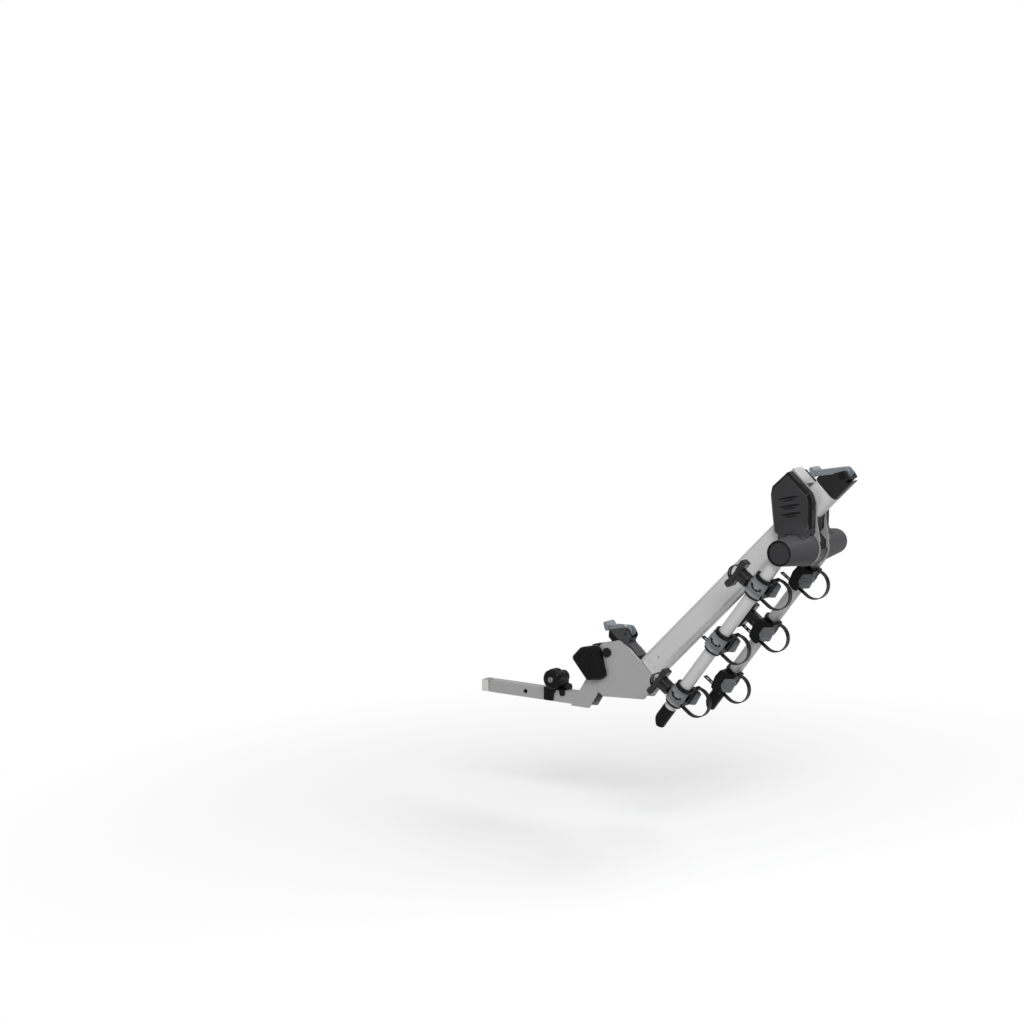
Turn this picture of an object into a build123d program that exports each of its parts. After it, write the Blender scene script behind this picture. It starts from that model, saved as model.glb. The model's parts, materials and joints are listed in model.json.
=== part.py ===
from build123d import *
import math
import os

# Hitch bike rack with a tilting mast and two folding arms, in millimetres.
# +X is the right of the vehicle, +Y points forward into the hitch, +Z is up.
# The origin is the centre of the hitch pin bore.
# Side views use u, the distance to the rear, and z. A frame is a side plane
# with its own origin and angle, so outlines are drawn as (along, across).

# Stinger and hitch pin
stinger_side = 31.75
stinger_wall = 3.2
stinger_front = 116.0
hitch_pin_radius = 6.75

# Riser, which leans back from the stinger to the tilt pivot
pivot_u = 262.0
pivot_z = 134.5
riser_lean = 58.9
riser_front = 17.5
riser_rear = 30.5
riser_half_width = 22.2
riser_wall = 4.0
riser_foot_z = -19.0
riser_head_radius = 24.0

# Tilt joint
tilt_bolt_radius = 8.0
tilt_plug_radius = 12.0
tilt_plug_height = 5.0
lobe_radius = 27.0
tilt_drum_radius = 25.5
drum_half_width = 18.0
tilt_travel = 43.0
running_gap = 0.08
side_gap = 0.5
free_gap = 0.3

# Mast
mast_angle = 45.3
mast_start = 62.0
mast_depth = 67.0
mast_half_width = 22.0
mast_wall = 2.5
mast_axis_drop = 104.5
mast_corner = 16.0

# Mast foot plates
plate_thickness = 4.0
tongue_length = 60.0
plate_pin_radius = 4.0
stop_radius = 7.0

# Hub, measured from the fold joint along and across the mast
hub_behind_fold = -75.5
hub_below_fold = -64.5
hub_end_radius = 31.0
hub_root_radius = 43.0
hub_half_length = 154.0
hub_end_margin = 27.0
hub_wall = 3.0
hub_tube_radius = 16.0
hub_tube_wall = 3.0
hub_cap_depth = 4.0

# Fold joint, measured along the mast from the tilt pivot
fold_along = 682.5
mast_past_fold = 60.5
fold_shaft_radius = 10.0
fold_drum_radius = 26.0
fold_drum_half_width = 12.0
fold_travel = 90.0

# Fold bracket and its covers
bracket_gap = 0.6
bracket_thickness = 3.0
bracket_round = 44.0
cover_face = 54.0
cover_rim = 47.0
cover_wall = 3.0
cover_bevel = 8.0
slot_length = 54.0
slot_width = 3.0
slot_pitch = 18.7
slot_slope = 12.0
saddle_reach = 86.0
saddle_low = 41.0
saddle_high = 74.0

# Levers and latch rods
lever_half_width = 12.0
grip_half_width = 20.0
lever_underside = 8.3
lever_thickness = 12.4
lever_boss_radius = 13.0
lever_pin_radius = 3.0
lift_arm = 14.0
lug_radius = 3.0
lever_pull = 28.0
latch_rod_radius = 4.5
latch_drop = 6.5
foot_lever_length = 64.0
foot_lever_angle = 138.0
foot_boss_along = 70.0
foot_boss_across = 2.0
top_lever_length = 84.0
top_lever_angle = 145.0
top_boss_beyond_mast = 57.0
top_boss_below_axis = 6.5
cap_length = 70.0
cap_plug_depth = 25.0

# Arms
arm_angle = 233.5
arm_radius = 15.9
arm_wall = 2.0
arm_length = 505.0
arm_start = 22.0
arm_cap_length = 56.0

# Cradles, measured along the arm from the hub centre
cradle_first = 102.0
cradle_count = 3
last_cradle_to_end = 47.4
cradle_pitch = (arm_length - last_cradle_to_end - cradle_first) / (cradle_count - 1)
sleeve_gap = 0.2
sleeve_wall = 3.4
collar_radius = 25.5
strap_loop_radius = 36.0
strap_loop_height = 39.5
strap_thickness = 2.6
strap_width = 16.0
strap_inset = 25.0
strap_tail = 50.0
strap_step = 6.0
tab_swing = 25.0

# Steadying cages that hang under three of the cradles
caged = {"left": (0, 2), "right": (1,)}
cage_along = 14.0
cage_neck_radius = 17.5
cage_neck_start = 27.5
cage_bar_start = 53.0
cage_bar_length = 78.0
cage_bar_width = 24.0
cage_bar_depth = 17.0
cage_rib_count = 18
cage_post_radius = 6.0
cage_channel_depth = 8.0
cage_loop_radius = 22.0

# Clamp knob on the stinger
knob_u = 100.0
knob_z = 47.0
knob_radius = 27.0
knob_face = 46.0
knob_back = 9.0
knob_shaft_radius = 6.0
cam_radius = 9.0
cam_throw = 2.0
wedge_travel = 4.0
lock_radius = 7.5

os.makedirs("parts", exist_ok=True)
parts = {}


def side_frame(u, z, angle):
    """Side plane through (u, z), its first axis turned up by angle."""
    a = math.radians(angle)
    along = (0, -math.cos(a), math.sin(a))
    return Plane(origin=(0, -u, z), x_dir=along, z_dir=(-1, 0, 0))


def moved_frame(frame, along, across, turn=0.0):
    """The frame moved by (along, across) in its own axes and turned."""
    return Plane(frame.location * Location((along, across, 0), (0, 0, turn)))


def outline(points):
    """Closed face through (along, across, corner radius) points."""
    edges = []
    last = None
    first = None
    count = len(points)
    for i in range(count):
        x, y, radius = points[i]
        back = points[i - 1]
        ahead = points[(i + 1) % count]
        to_back = (back[0] - x, back[1] - y)
        to_ahead = (ahead[0] - x, ahead[1] - y)
        len_back = math.hypot(*to_back)
        len_ahead = math.hypot(*to_ahead)
        dot = (to_back[0] * to_ahead[0] + to_back[1] * to_ahead[1]) / (len_back * len_ahead)
        half = math.acos(max(-1.0, min(1.0, dot))) / 2
        cut = min(radius / max(math.tan(half), 0.01), 0.49 * len_back, 0.49 * len_ahead)
        start = (x + to_back[0] / len_back * cut, y + to_back[1] / len_back * cut)
        end = (x + to_ahead[0] / len_ahead * cut, y + to_ahead[1] / len_ahead * cut)
        if last is not None:
            edges.append(Line(last, start))
        else:
            first = start
        if cut > 0.05 and half < math.radians(89):
            reach = cut * (1 / math.cos(half) - math.tan(half))
            middle = ((start[0] + end[0]) / 2 - x, (start[1] + end[1]) / 2 - y)
            scale = reach / math.hypot(*middle)
            edges.append(ThreePointArc(start, (x + middle[0] * scale, y + middle[1] * scale), end))
        else:
            end = start
        last = end
    edges.append(Line(last, first))
    return make_face(edges)


def slab(frame, face, x_low, x_high):
    """The face, drawn in a side frame, made solid from x_low to x_high."""
    placed = frame.offset(-x_high) * face
    return extrude(placed, amount=x_high - x_low, dir=(-1, 0, 0))


def both_sides(frame, face, x_low, x_high):
    """Two slabs, mirrored left and right."""
    return slab(frame, face, x_low, x_high) + slab(frame, face, -x_high, -x_low)


def disc(along, across, radius):
    return Pos(along, across) * Circle(radius)


def bar(along_low, along_high, across_low, across_high):
    """Rectangle between two corners."""
    size_along = along_high - along_low
    size_across = across_high - across_low
    middle = Pos((along_low + along_high) / 2, (across_low + across_high) / 2)
    return middle * Rectangle(size_along, size_across)


def turned(face, angle):
    return Rot(0, 0, angle) * face


def flip(shape):
    """The same piece on the other side of the vehicle's centre plane."""
    return mirror(shape, about=Plane.YZ)


mast_end = fold_along + mast_past_fold
fold_across = -mast_axis_drop
arm_side = hub_half_length - hub_end_margin
top_boss_along = mast_end + top_boss_beyond_mast
top_boss_across = -mast_axis_drop - top_boss_below_axis
level = side_frame(0, 0, 0)
pivot = side_frame(pivot_u, pivot_z, 0)
riser = side_frame(pivot_u, pivot_z, riser_lean)
mast = side_frame(pivot_u, pivot_z, mast_angle)
foot_boss = moved_frame(mast, foot_boss_along, foot_boss_across)
top_boss = moved_frame(mast, top_boss_along, top_boss_across)
fold = moved_frame(mast, fold_along, fold_across)
hub = moved_frame(fold, hub_behind_fold, hub_below_fold, -mast_angle)
arm = moved_frame(hub, 0, 0, arm_angle)

half_stinger = stinger_side / 2
plate_inner = riser_half_width + side_gap
plate_outer = plate_inner + plate_thickness
bracket_inner = mast_half_width + bracket_gap
bracket_outer = bracket_inner + bracket_thickness
mast_front = -mast_axis_drop + mast_depth / 2
mast_rear = -mast_axis_drop - mast_depth / 2
foot_rod_across = foot_boss_across + lift_arm
top_rod_across = top_boss_across + lift_arm


def riser_edge_u(z, across):
    """Distance to the rear of the riser face at height z."""
    a = math.radians(riser_lean)
    face_u = pivot_u - across * math.sin(a)
    face_z = pivot_z + across * math.cos(a)
    return face_u + (z - face_z) / math.tan(a)


def riser_along(z, across):
    """Distance along the riser of the point on that face at height z."""
    a = math.radians(riser_lean)
    return (z - pivot_z - across * math.cos(a)) / math.sin(a)


def base_cover_outline(inset):
    """Side outline of the ribbed cover, drawn around the tilt pivot."""
    points = [
        (-102 + 1.3 * inset, -22, 9),
        (-74 + inset * 0.6, 7 - inset, 8),
        (-28, 17 - inset, 8),
        (-17 - inset, 8, 6),
        (1 - inset, -60, 10),
        (-12, -71 + inset, 6),
        (-54 + inset * 0.4, -77 + inset, 8),
    ]
    return outline(points)


def make_base_frame():
    """Stinger tube, riser channel, head and latch drum, welded together."""
    low_u = riser_edge_u(-half_stinger, riser_front)
    high_u = riser_edge_u(half_stinger, riser_front)
    tube_points = [
        (-stinger_front, -half_stinger, 0),
        (low_u, -half_stinger, 0),
        (high_u, half_stinger, 0),
        (-stinger_front, half_stinger, 0),
    ]
    tube = slab(level, outline(tube_points), -half_stinger, half_stinger)
    hollow_half = half_stinger - stinger_wall
    hollow_points = [
        (-stinger_front - 1, -hollow_half, 0),
        (riser_edge_u(-hollow_half, riser_front) - 2, -hollow_half, 0),
        (riser_edge_u(hollow_half, riser_front) - 2, hollow_half, 0),
        (-stinger_front - 1, hollow_half, 0),
    ]
    tube -= slab(level, outline(hollow_points), -hollow_half, hollow_half)
    tube -= slab(level, disc(0, 0, hitch_pin_radius), -half_stinger - 1, half_stinger + 1)
    tube -= slab(level, bar(knob_u - 9, knob_u + 13, 0, half_stinger + 1), -5, 5)

    low_front = riser_along(riser_foot_z, riser_front)
    low_rear = riser_along(riser_foot_z, -riser_rear)
    head = riser_head_radius
    side_points = [
        (low_front, riser_front, 0),
        (head, riser_front, head * 0.6),
        (head, -head, head * 0.8),
        (-14, -riser_rear, 18),
        (low_rear, -riser_rear, 5),
    ]
    side_face = outline(side_points)
    wall_inner = riser_half_width - riser_wall
    walls = both_sides(riser, side_face, wall_inner, riser_half_width)
    walls += both_sides(pivot, base_cover_outline(5.0), wall_inner, riser_half_width)
    web_points = [
        (low_front, riser_front, 0),
        (-34, riser_front, 0),
        (-34, riser_front - riser_wall, 0),
        (riser_along(riser_foot_z, riser_front - riser_wall), riser_front - riser_wall, 0),
    ]
    web = slab(riser, outline(web_points), -wall_inner, wall_inner)
    foot_plate = outline([
        (riser_along(riser_foot_z, riser_front), riser_front, 0),
        (riser_along(riser_foot_z + 5, riser_front), riser_front, 0),
        (riser_along(riser_foot_z + 5, -riser_rear + 12), -riser_rear + 12, 0),
        (riser_along(riser_foot_z, -riser_rear + 12), -riser_rear + 12, 0),
    ])
    web += slab(riser, foot_plate, -wall_inner, wall_inner)

    drum = slab(pivot, disc(0, 0, tilt_drum_radius), -drum_half_width, drum_half_width)
    drum = cut_notch(drum, moved_frame(mast, 0, 0, tilt_travel), tilt_drum_radius, foot_rod_across)
    drum_weld = slab(riser, bar(-31, -18, -12, riser_front), -wall_inner, wall_inner)
    bore = slab(pivot, disc(0, 0, tilt_bolt_radius), -riser_half_width - 1, riser_half_width + 1)
    frame = tube + walls + web + (drum + both_sides(pivot, disc(0, 0, 14), drum_half_width, wall_inner))
    frame += drum_weld
    for u, z in base_screw_places():
        bore += both_sides(pivot, disc(u, z, 2.45), wall_inner - 1, riser_half_width + 1)
    return frame - bore


def base_screw_places():
    return ((-34, -6), (-72, -46))


def make_base_covers():
    """Ribbed side cover with its two screws, left side first."""
    inner = riser_half_width + 0.1
    outer = 43.0
    rim = base_cover_outline(0.0)
    shell = slab(pivot, rim, inner, outer - 5)
    crown = loft([
        Plane(pivot.offset(-(outer - 5)).location) * base_cover_outline(0.0),
        Plane(pivot.offset(-outer).location) * base_cover_outline(4.5),
    ])
    shell += crown
    shell -= slab(pivot, base_cover_outline(3.0), inner - 1, outer - 3.5)
    plate_space = disc(0, 0, lobe_radius + 1.5) + bar(-31, 40, -120, 0)
    swept = slab(pivot, plate_space, inner - 1, plate_outer + 0.6)
    shell -= swept
    for k in range(6):
        u = -72 + 11.0 * k
        rib = slab(pivot, turned(bar(-60, 0, -1.4, 1.4), 82), outer - 0.8, outer + 0.6)
        rib = Pos(0, -u, 0) * rib
        groove_limit = slab(pivot, base_cover_outline(9.0), outer - 2, outer + 2)
        shell -= rib & groove_limit
    screws = None
    for u, z in base_screw_places():
        boss = slab(pivot, disc(u, z, 5.5), inner, outer - 3.5)
        hole = slab(pivot, disc(u, z, 2.5), inner - 1, outer + 1)
        sink = slab(pivot, disc(u, z, 4.4), outer - 3.2, outer + 1)
        shell = shell + boss - hole - sink
        head = slab(pivot, disc(u, z, 4.2), outer - 3.2, outer - 1.2)
        socket = slab(pivot, turned(RegularPolygon(2.0, 6), 0).moved(Location((u, z, 0))),
                      outer - 2.6, outer)
        shank = slab(pivot, disc(u, z, 2.4), inner - 3.0, outer - 3.2)
        screw = head - socket + shank
        screws = screw if screws is None else screws + screw
    return shell, screws


def make_tilt_bolt():
    """Bolt through plates and riser, with round plugs over its ends."""
    shaft = slab(pivot, disc(0, 0, tilt_bolt_radius - 0.02), -plate_outer - 1, plate_outer + 1)
    plug = slab(pivot, disc(0, 0, tilt_plug_radius), plate_outer + free_gap,
                plate_outer + free_gap + tilt_plug_height)
    plug = fillet(plug.edges().group_by(Axis.X)[-1], 1.5)
    return shaft + plug + flip(plug)


def foot_plate_outline():
    """Mast foot plate, drawn along the mast from the tilt pivot."""
    deg = math.radians
    lobe_left = (-lobe_radius * math.cos(deg(mast_angle)), lobe_radius * math.sin(deg(mast_angle)))
    body = outline([
        (lobe_left[0], lobe_left[1], 0),
        (0, lobe_radius - 2, 0),
        (26, 14, 8),
        (50, 0, 14),
        (mast_start - 2, -40, 0),
        (mast_start - 1, mast_front + 0.0, 0),
        (mast_start - 1, mast_front - 4, 0),
        (mast_start + tongue_length, mast_front - 6, 4),
        (mast_start + tongue_length, mast_rear + 6, 4),
        (mast_start - 1, mast_rear + 4, 0),
        (mast_start - 1, mast_rear + 0.5, 3),
        (20, -153, 6),
        (1, -156, 6),
        (-90, -74, 5),
        (-94, -52, 5),
    ])
    return body + disc(0, 0, lobe_radius)


def make_foot_plates():
    """Left and right plates; the tongue steps in to fit inside the mast."""
    tongue_outer = mast_half_width - mast_wall - 0.15
    face = foot_plate_outline()
    wide = face - bar(mast_start - 1, mast_start + 200, -200, 50)
    tongue = face & bar(mast_start - 9, mast_start + 200, mast_rear + 3, mast_front - 3)
    plate = slab(mast, wide, plate_inner, plate_outer)
    inner_part = slab(mast, tongue, tongue_outer - plate_thickness, tongue_outer)
    inner_part &= mast_tube(mast_wall + 0.15, mast_start - 9, mast_start + 200)
    step = slab(mast, face & bar(mast_start - 9, mast_start - 1, mast_rear + 3, mast_front - 3),
                tongue_outer - plate_thickness, plate_outer)
    plate = plate + inner_part + step
    plate -= slab(mast, disc(0, 0, tilt_bolt_radius + running_gap), 0, 60)
    for along, across in foot_pin_places():
        plate -= slab(mast, disc(along, across, plate_pin_radius + 0.05), 0, 60)
    for along, across in housing_pin_places():
        plate -= slab(mast, disc(along, across, plate_pin_radius + 0.05), 0, 60)
    along, across = stop_place()
    plate -= slab(mast, disc(along, across, plate_pin_radius + 0.05), 0, 60)
    return flip(plate), plate


def foot_pin_places():
    first = mast_start + 18
    return ((first, -mast_axis_drop + 10.5), (first, -mast_axis_drop - 10.5), (first + 28, -mast_axis_drop))


def housing_pin_places():
    return ((44, -12), (50, -50))


def stop_place():
    """Centre of the stop tube, resting on the riser's rear edges."""
    lean = math.radians(riser_lean - mast_angle)
    along = -68.0
    across = -riser_rear - stop_radius - free_gap
    return (along * math.cos(lean) - across * math.sin(lean),
            along * math.sin(lean) + across * math.cos(lean))


def cross_pin(frame, along, across, half_width):
    """Pressed pin across the rack, flush with the faces at half_width."""
    return slab(frame, disc(along, across, plate_pin_radius), -half_width, half_width)


def make_foot_pins():
    """Pins that hold the foot plates in the mast."""
    pins = None
    for along, across in foot_pin_places():
        pin = cross_pin(mast, along, across, mast_half_width)
        pins = pin if pins is None else pins + pin
    return pins


def make_tilt_stop():
    """Stop tube and its pin between the foot plates."""
    along, across = stop_place()
    tube = slab(mast, disc(along, across, stop_radius), -plate_inner, plate_inner)
    return tube + cross_pin(mast, along, across, plate_outer)


def mast_section(inset):
    """Mast cross section across the tube, rounded like an aircraft strut."""
    width = 2 * (mast_half_width - inset)
    depth = mast_depth - 2 * inset
    return RectangleRounded(depth, width, mast_corner - inset)


def mast_tube(inset, along_low, along_high):
    """Length of mast section between two places along the mast."""
    start = mast.location * Location((along_low, -mast_axis_drop, 0))
    section_plane = Plane(origin=start.position, x_dir=mast.y_dir, z_dir=mast.x_dir)
    return extrude(section_plane * mast_section(inset), amount=along_high - along_low)


def make_mast():
    tube = mast_tube(0, mast_start, mast_end) - mast_tube(mast_wall, mast_start - 1, mast_end + 1)
    for along, across in foot_pin_places():
        tube -= slab(mast, disc(along, across, plate_pin_radius + 0.05), -40, 40)
    tube -= slab(fold, disc(0, 0, fold_shaft_radius + running_gap), -40, 40)
    return tube


def lever_outline(length):
    """Side outline of a release lever about its pin, grip to the right."""
    top = lever_underside + lever_thickness
    arm_end = length - 13
    body = outline([
        (0, lever_underside, 0),
        (arm_end, lever_underside, 3),
        (arm_end + 5, 5, 4),
        (length - 3, 12, 5),
        (length, 27, 5),
        (length - 7, 32, 4),
        (arm_end - 2, top + 1, 5),
        (2, top, 8),
        (-8, lever_underside, 0),
    ])
    return body + disc(-1, 6, lever_boss_radius + 1.5)


def make_lever(boss, length, angle):
    """Release lever with a slot for the latch rod and two lifting lugs."""
    frame = Plane(boss.location * Location((0, 0, 0), (0, 0, angle)) )
    face = mirror(lever_outline(length), about=Plane.XZ)
    lever = slab(frame, face, -lever_half_width, lever_half_width)
    grip = slab(frame, face & bar(length - 14, length + 5, -40, 0), -grip_half_width, grip_half_width)
    lever += grip
    slot = outline([(-30, -14, 0), (34, -14, 4), (34, 30, 4), (-30, 30, 0)])
    lever -= slab(frame, mirror(slot, about=Plane.XZ), -9.5, 9.5)
    lugs = both_sides(boss, disc(0, lift_arm, lug_radius), latch_rod_radius + 0.8, lever_half_width)
    arms = both_sides(boss, bar(-lug_radius, lug_radius, 0, lift_arm), 9.5, lever_half_width)
    lever += lugs + arms
    lever += both_sides(boss, disc(0, 0, 7.5), 9.5, lever_half_width)
    lever -= slab(boss, disc(0, 0, lever_pin_radius + running_gap), -20, 20)
    return lever


def make_lever_pin(boss, half_width):
    """Pin that the lever turns on."""
    return slab(boss, disc(0, 0, lever_pin_radius), -half_width, half_width)


def along_bar(frame, along_low, along_high, across, radius):
    """Round bar along the frame's first axis, on the centre plane."""
    start = frame.location * Location((along_low, across, 0))
    end_plane = Plane(origin=start.position, x_dir=frame.y_dir, z_dir=frame.x_dir)
    return extrude(end_plane * Circle(radius), amount=along_high - along_low)


def plunger_tip(drum_radius, across):
    """Height of a plunger's flat tip that just clears a drum below it."""
    near = abs(across) - latch_rod_radius
    return math.sqrt((drum_radius + free_gap) ** 2 - max(near, 0) ** 2)


def make_latch_rod(pivot_along, pivot_across, drum_radius, boss_along, rod_across):
    """Sprung rod from a lever to its drum, with the collar the lever lifts."""
    tip = pivot_along + plunger_tip(drum_radius, rod_across - pivot_across)
    seat = boss_along + lug_radius + 0.4
    rod = along_bar(mast, tip, seat + 3.5, rod_across, latch_rod_radius)
    return rod + along_bar(mast, seat, seat + 3.5, rod_across, 8.5)


def cut_notch(drum, frame, drum_radius, across):
    """Notch in a drum that takes the plunger's tip in this frame."""
    half = latch_rod_radius + 0.4
    floor = plunger_tip(drum_radius, across) - latch_drop - 0.5
    notch = bar(floor, drum_radius + 12, across - half, across + half)
    return drum - slab(frame, notch, -half, half)


def make_foot_housing():
    """Latch housing between the foot plates, with side walls for the lever."""
    side = outline([
        (26.5, 29, 3),
        (40.5, 41, 2),
        (75, 19, 8),
        (86, 6, 9),
        (80, -13, 8),
        (mast_start + 0.5, -19, 4),
        (mast_start - 0.5, -64, 3),
        (48, -64, 4),
        (27, -20, 6),
    ])
    body = slab(mast, side - disc(0, 0, tilt_drum_radius + 1.5), -18, 18)
    lever_space = disc(foot_boss_along, foot_boss_across, 17.5)
    lever_frame = turned(bar(0, 90, -60, -lever_underside + 0.6), foot_lever_angle)
    lever_space = lever_space + Pos(foot_boss_along, foot_boss_across) * lever_frame
    lever_space = lever_space + bar(60, 95, foot_boss_across - 6, foot_boss_across + 40)
    body -= slab(mast, lever_space, -lever_half_width - 0.5, lever_half_width + 0.5)
    body -= along_bar(mast, 15, 66, foot_rod_across, latch_rod_radius + running_gap)
    body -= slab(foot_boss, disc(0, 0, lever_pin_radius + 0.01), -30, 30)
    for along, across in housing_pin_places():
        body -= slab(mast, disc(along, across, plate_pin_radius + 0.05), -40, 40)
    spacer = None
    for along, across in housing_pin_places():
        ring = both_sides(mast, disc(along, across, 8) - disc(along, across, plate_pin_radius + 0.05),
                          18, plate_inner)
        spacer = ring if spacer is None else spacer + ring
    return body + spacer


def make_housing_pins():
    """Pins that hold the latch housing between the foot plates."""
    pins = None
    for along, across in housing_pin_places():
        pin = cross_pin(mast, along, across, plate_outer)
        pins = pin if pins is None else pins + pin
    return pins


def make_top_cap():
    """Cap that closes the mast, carries the top lever and guides the rod."""
    low = mast_end
    high = low + cap_length
    rear = mast_rear
    front = mast_front
    side = outline([
        (low, rear, 0),
        (high - 6, rear, 5),
        (high - 1, rear + 14, 4),
        (high + 2, top_boss_across + 4, 9),
        (high - 36, front - 16, 4),
        (low + 3, front + 2, 3),
        (low, front, 0),
    ])
    full = mast_tube(0, low, high + 20)
    body = full & slab(mast, side, -mast_half_width, mast_half_width)
    eye = bar(high - 20, high - 3, rear + 3, rear + 10.5)
    body -= slab(mast, eye, -40, 40)
    lever_space = disc(top_boss_along, top_boss_across, 17.5)
    under = turned(bar(0, 120, -60, -lever_underside + 0.6), top_lever_angle)
    lever_space = lever_space + Pos(top_boss_along, top_boss_across) * under
    lever_space = lever_space + bar(top_boss_along - 10, top_boss_along + 40,
                                    top_boss_across - 6, top_boss_across + 60)
    body -= slab(mast, lever_space, -lever_half_width - 0.5, lever_half_width + 0.5)
    plug = mast_tube(mast_wall + 0.1, low - cap_plug_depth, low)
    plug -= mast_tube(mast_wall + 3.0, low - cap_plug_depth - 1, low - 4)
    guide = along_bar(mast, low - cap_plug_depth, low, top_rod_across, latch_rod_radius + 4.0)
    body = body + plug + guide
    body -= along_bar(mast, low - 80, high, top_rod_across, latch_rod_radius + running_gap)
    body -= slab(top_boss, disc(0, 0, lever_pin_radius + 0.01), -30, 30)
    return body


def make_fold_shaft():
    """Shaft that turns with the arms, with the latch drum inside the mast."""
    half = bracket_outer + 0.1
    shaft = slab(fold, disc(0, 0, fold_shaft_radius), -half, half)
    drum = slab(fold, disc(0, 0, fold_drum_radius), -fold_drum_half_width, fold_drum_half_width)
    across = top_rod_across - fold_across
    drum = cut_notch(drum, moved_frame(fold, 0, 0, -fold_travel), fold_drum_radius, across)
    head = slab(fold, disc(0, 0, fold_shaft_radius + 4), half, half + 5)
    return shaft + drum + head + flip(head)


def bracket_outline():
    """Fold bracket side outline, drawn around the hub centre."""
    body = outline([
        (-31, 188.5, 4),
        (23.5, 134.5, 10),
        (34, 112, 30),
        (34, 66, 40),
        (44, 20, 8),
        (30, 0, 0),
        (-30, 0, 0),
        (-60, 20, 8),
        (-70, 32, 6),
        (-81, 126, 10),
        (-77, 148, 8),
    ])
    return body + Circle(bracket_round)


def make_bracket():
    """Two side plates outside the mast, joined by a web that stops the fold."""
    plates = both_sides(hub, bracket_outline(), bracket_inner, bracket_outer)
    stop_face = mast_depth / 2 + free_gap
    low = mast_front + 8 - fold_across
    web = bar(stop_face, stop_face + bracket_thickness, low, low + 50)
    plates += slab(fold, web, -bracket_inner, bracket_inner)
    plates -= slab(hub, disc(0, 0, hub_tube_radius + 0.02), -60, 60)
    plates -= slab(fold, disc(0, 0, fold_shaft_radius + 0.02), -60, 60)
    for u, z in cover_screw_places():
        plates -= slab(hub, disc(u, z, 2.1), -60, 60)
    return plates


def cover_screw_places():
    return ((-52, 130), (8, 60))


def cover_outline(inset):
    """Side cover outline round the hub centre, shrunk by inset."""
    return outline([
        (-33, 186 - 1.35 * inset, 4),
        (25 - inset * 0.7, 135 - inset * 0.8, 8),
        (33 - inset, 112, 20),
        (33 - inset, 40, 6),
        (26 - inset, 30 + inset, 4),
        (-52 + inset, 24 + inset, 6),
        (-69 + inset, 36, 8),
        (-80 + inset, 126, 8),
        (-76 + inset, 147 - inset * 0.6, 8),
    ])


def make_side_cover():
    """Moulded cover: bevelled shell, three slots and a saddle over the hub."""
    inner = bracket_outer + 0.1
    shell = slab(hub, cover_outline(0), inner, cover_rim)
    shell += loft([
        Plane(hub.offset(-cover_rim).location) * cover_outline(0),
        Plane(hub.offset(-cover_face).location) * cover_outline(cover_bevel),
    ])
    shell += make_saddle()
    hollow = slab(hub, cover_outline(cover_wall), inner - 1, cover_rim)
    hollow += loft([
        Plane(hub.offset(-cover_rim + 0.5).location) * cover_outline(cover_wall),
        Plane(hub.offset(-cover_face + cover_wall).location) * cover_outline(cover_bevel + 1.5),
    ])
    shell -= hollow
    for k in range(3):
        mark = Rot(0, 0, slot_slope) * SlotOverall(slot_length, slot_width)
        mark = Pos(-29.4 + 4.3 * k, 120.7 - slot_pitch * k) * mark
        shell -= slab(hub, mark, cover_face - 1.2, cover_face + 2)
    shell -= hub_cone(free_gap, 0.0)
    for u, z in cover_screw_places():
        post = slab(hub, disc(u, z, 4.5) - disc(u, z, 1.5), inner, cover_face - cover_wall)
        shell += post
    return shell


def make_saddle():
    """Fairing that flares from the cover's face down over the hub cone."""
    profile = make_face([
        Line((cover_rim, 12), (saddle_reach, 12)),
        Line((saddle_reach, 12), (saddle_reach, saddle_low)),
        ThreePointArc((saddle_reach, saddle_low), (cover_face + 9, saddle_low + 9), (cover_face, saddle_high)),
        Line((cover_face, saddle_high), (cover_rim, saddle_high)),
        Line((cover_rim, saddle_high), (cover_rim, 12)),
    ])
    centre = hub.origin
    radial = Plane(origin=(0, centre.Y, centre.Z), x_dir=(1, 0, 0), z_dir=(0, -1, 0))
    flare = revolve(radial * profile, Axis((0, centre.Y, centre.Z), (1, 0, 0)), 360)
    limit = disc(-12, 34, 48) & bar(-54, 29, 14, 100)
    return flare & slab(hub, limit, 0, 100)


def hub_cone(grow, shrink):
    """Solid cone of one hub shell on the right side."""
    start = hub.location.position
    low = bracket_outer + 0.4 - grow
    high = hub_half_length - hub_cap_depth + grow
    near = Plane(origin=(low, start.Y, start.Z), z_dir=(1, 0, 0))
    far = Plane(origin=(high, start.Y, start.Z), z_dir=(1, 0, 0))
    return loft([near * Circle(hub_root_radius + grow - shrink), far * Circle(hub_end_radius + grow - shrink)])


def make_hub_shell():
    """Moulded cone over one half of the hub tube."""
    shell = hub_cone(0.0, 0.0) - hub_cone(0.0, hub_wall)
    start = hub.location.position
    near = Plane(origin=(bracket_outer + 0.4, start.Y, start.Z), z_dir=(1, 0, 0))
    disc_in = extrude(near * (Circle(hub_root_radius - 1) - Circle(hub_tube_radius + 0.02)), amount=3)
    far = Plane(origin=(hub_half_length - hub_cap_depth - 3, start.Y, start.Z), z_dir=(1, 0, 0))
    disc_out = extrude(far * (Circle(hub_end_radius - 1) - Circle(hub_tube_radius + 0.02)), amount=3)
    shell = shell + disc_in + disc_out
    shell -= arm_bar(0, 80, arm_radius + 0.25)
    return shell


def arm_bar(low, high, radius):
    """Round bar along the right arm's axis."""
    start = arm.location * Location((low, 0, -arm_side))
    face = Plane(origin=start.position, x_dir=(1, 0, 0), z_dir=arm.x_dir)
    return extrude(face * Circle(radius), amount=high - low)


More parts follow.
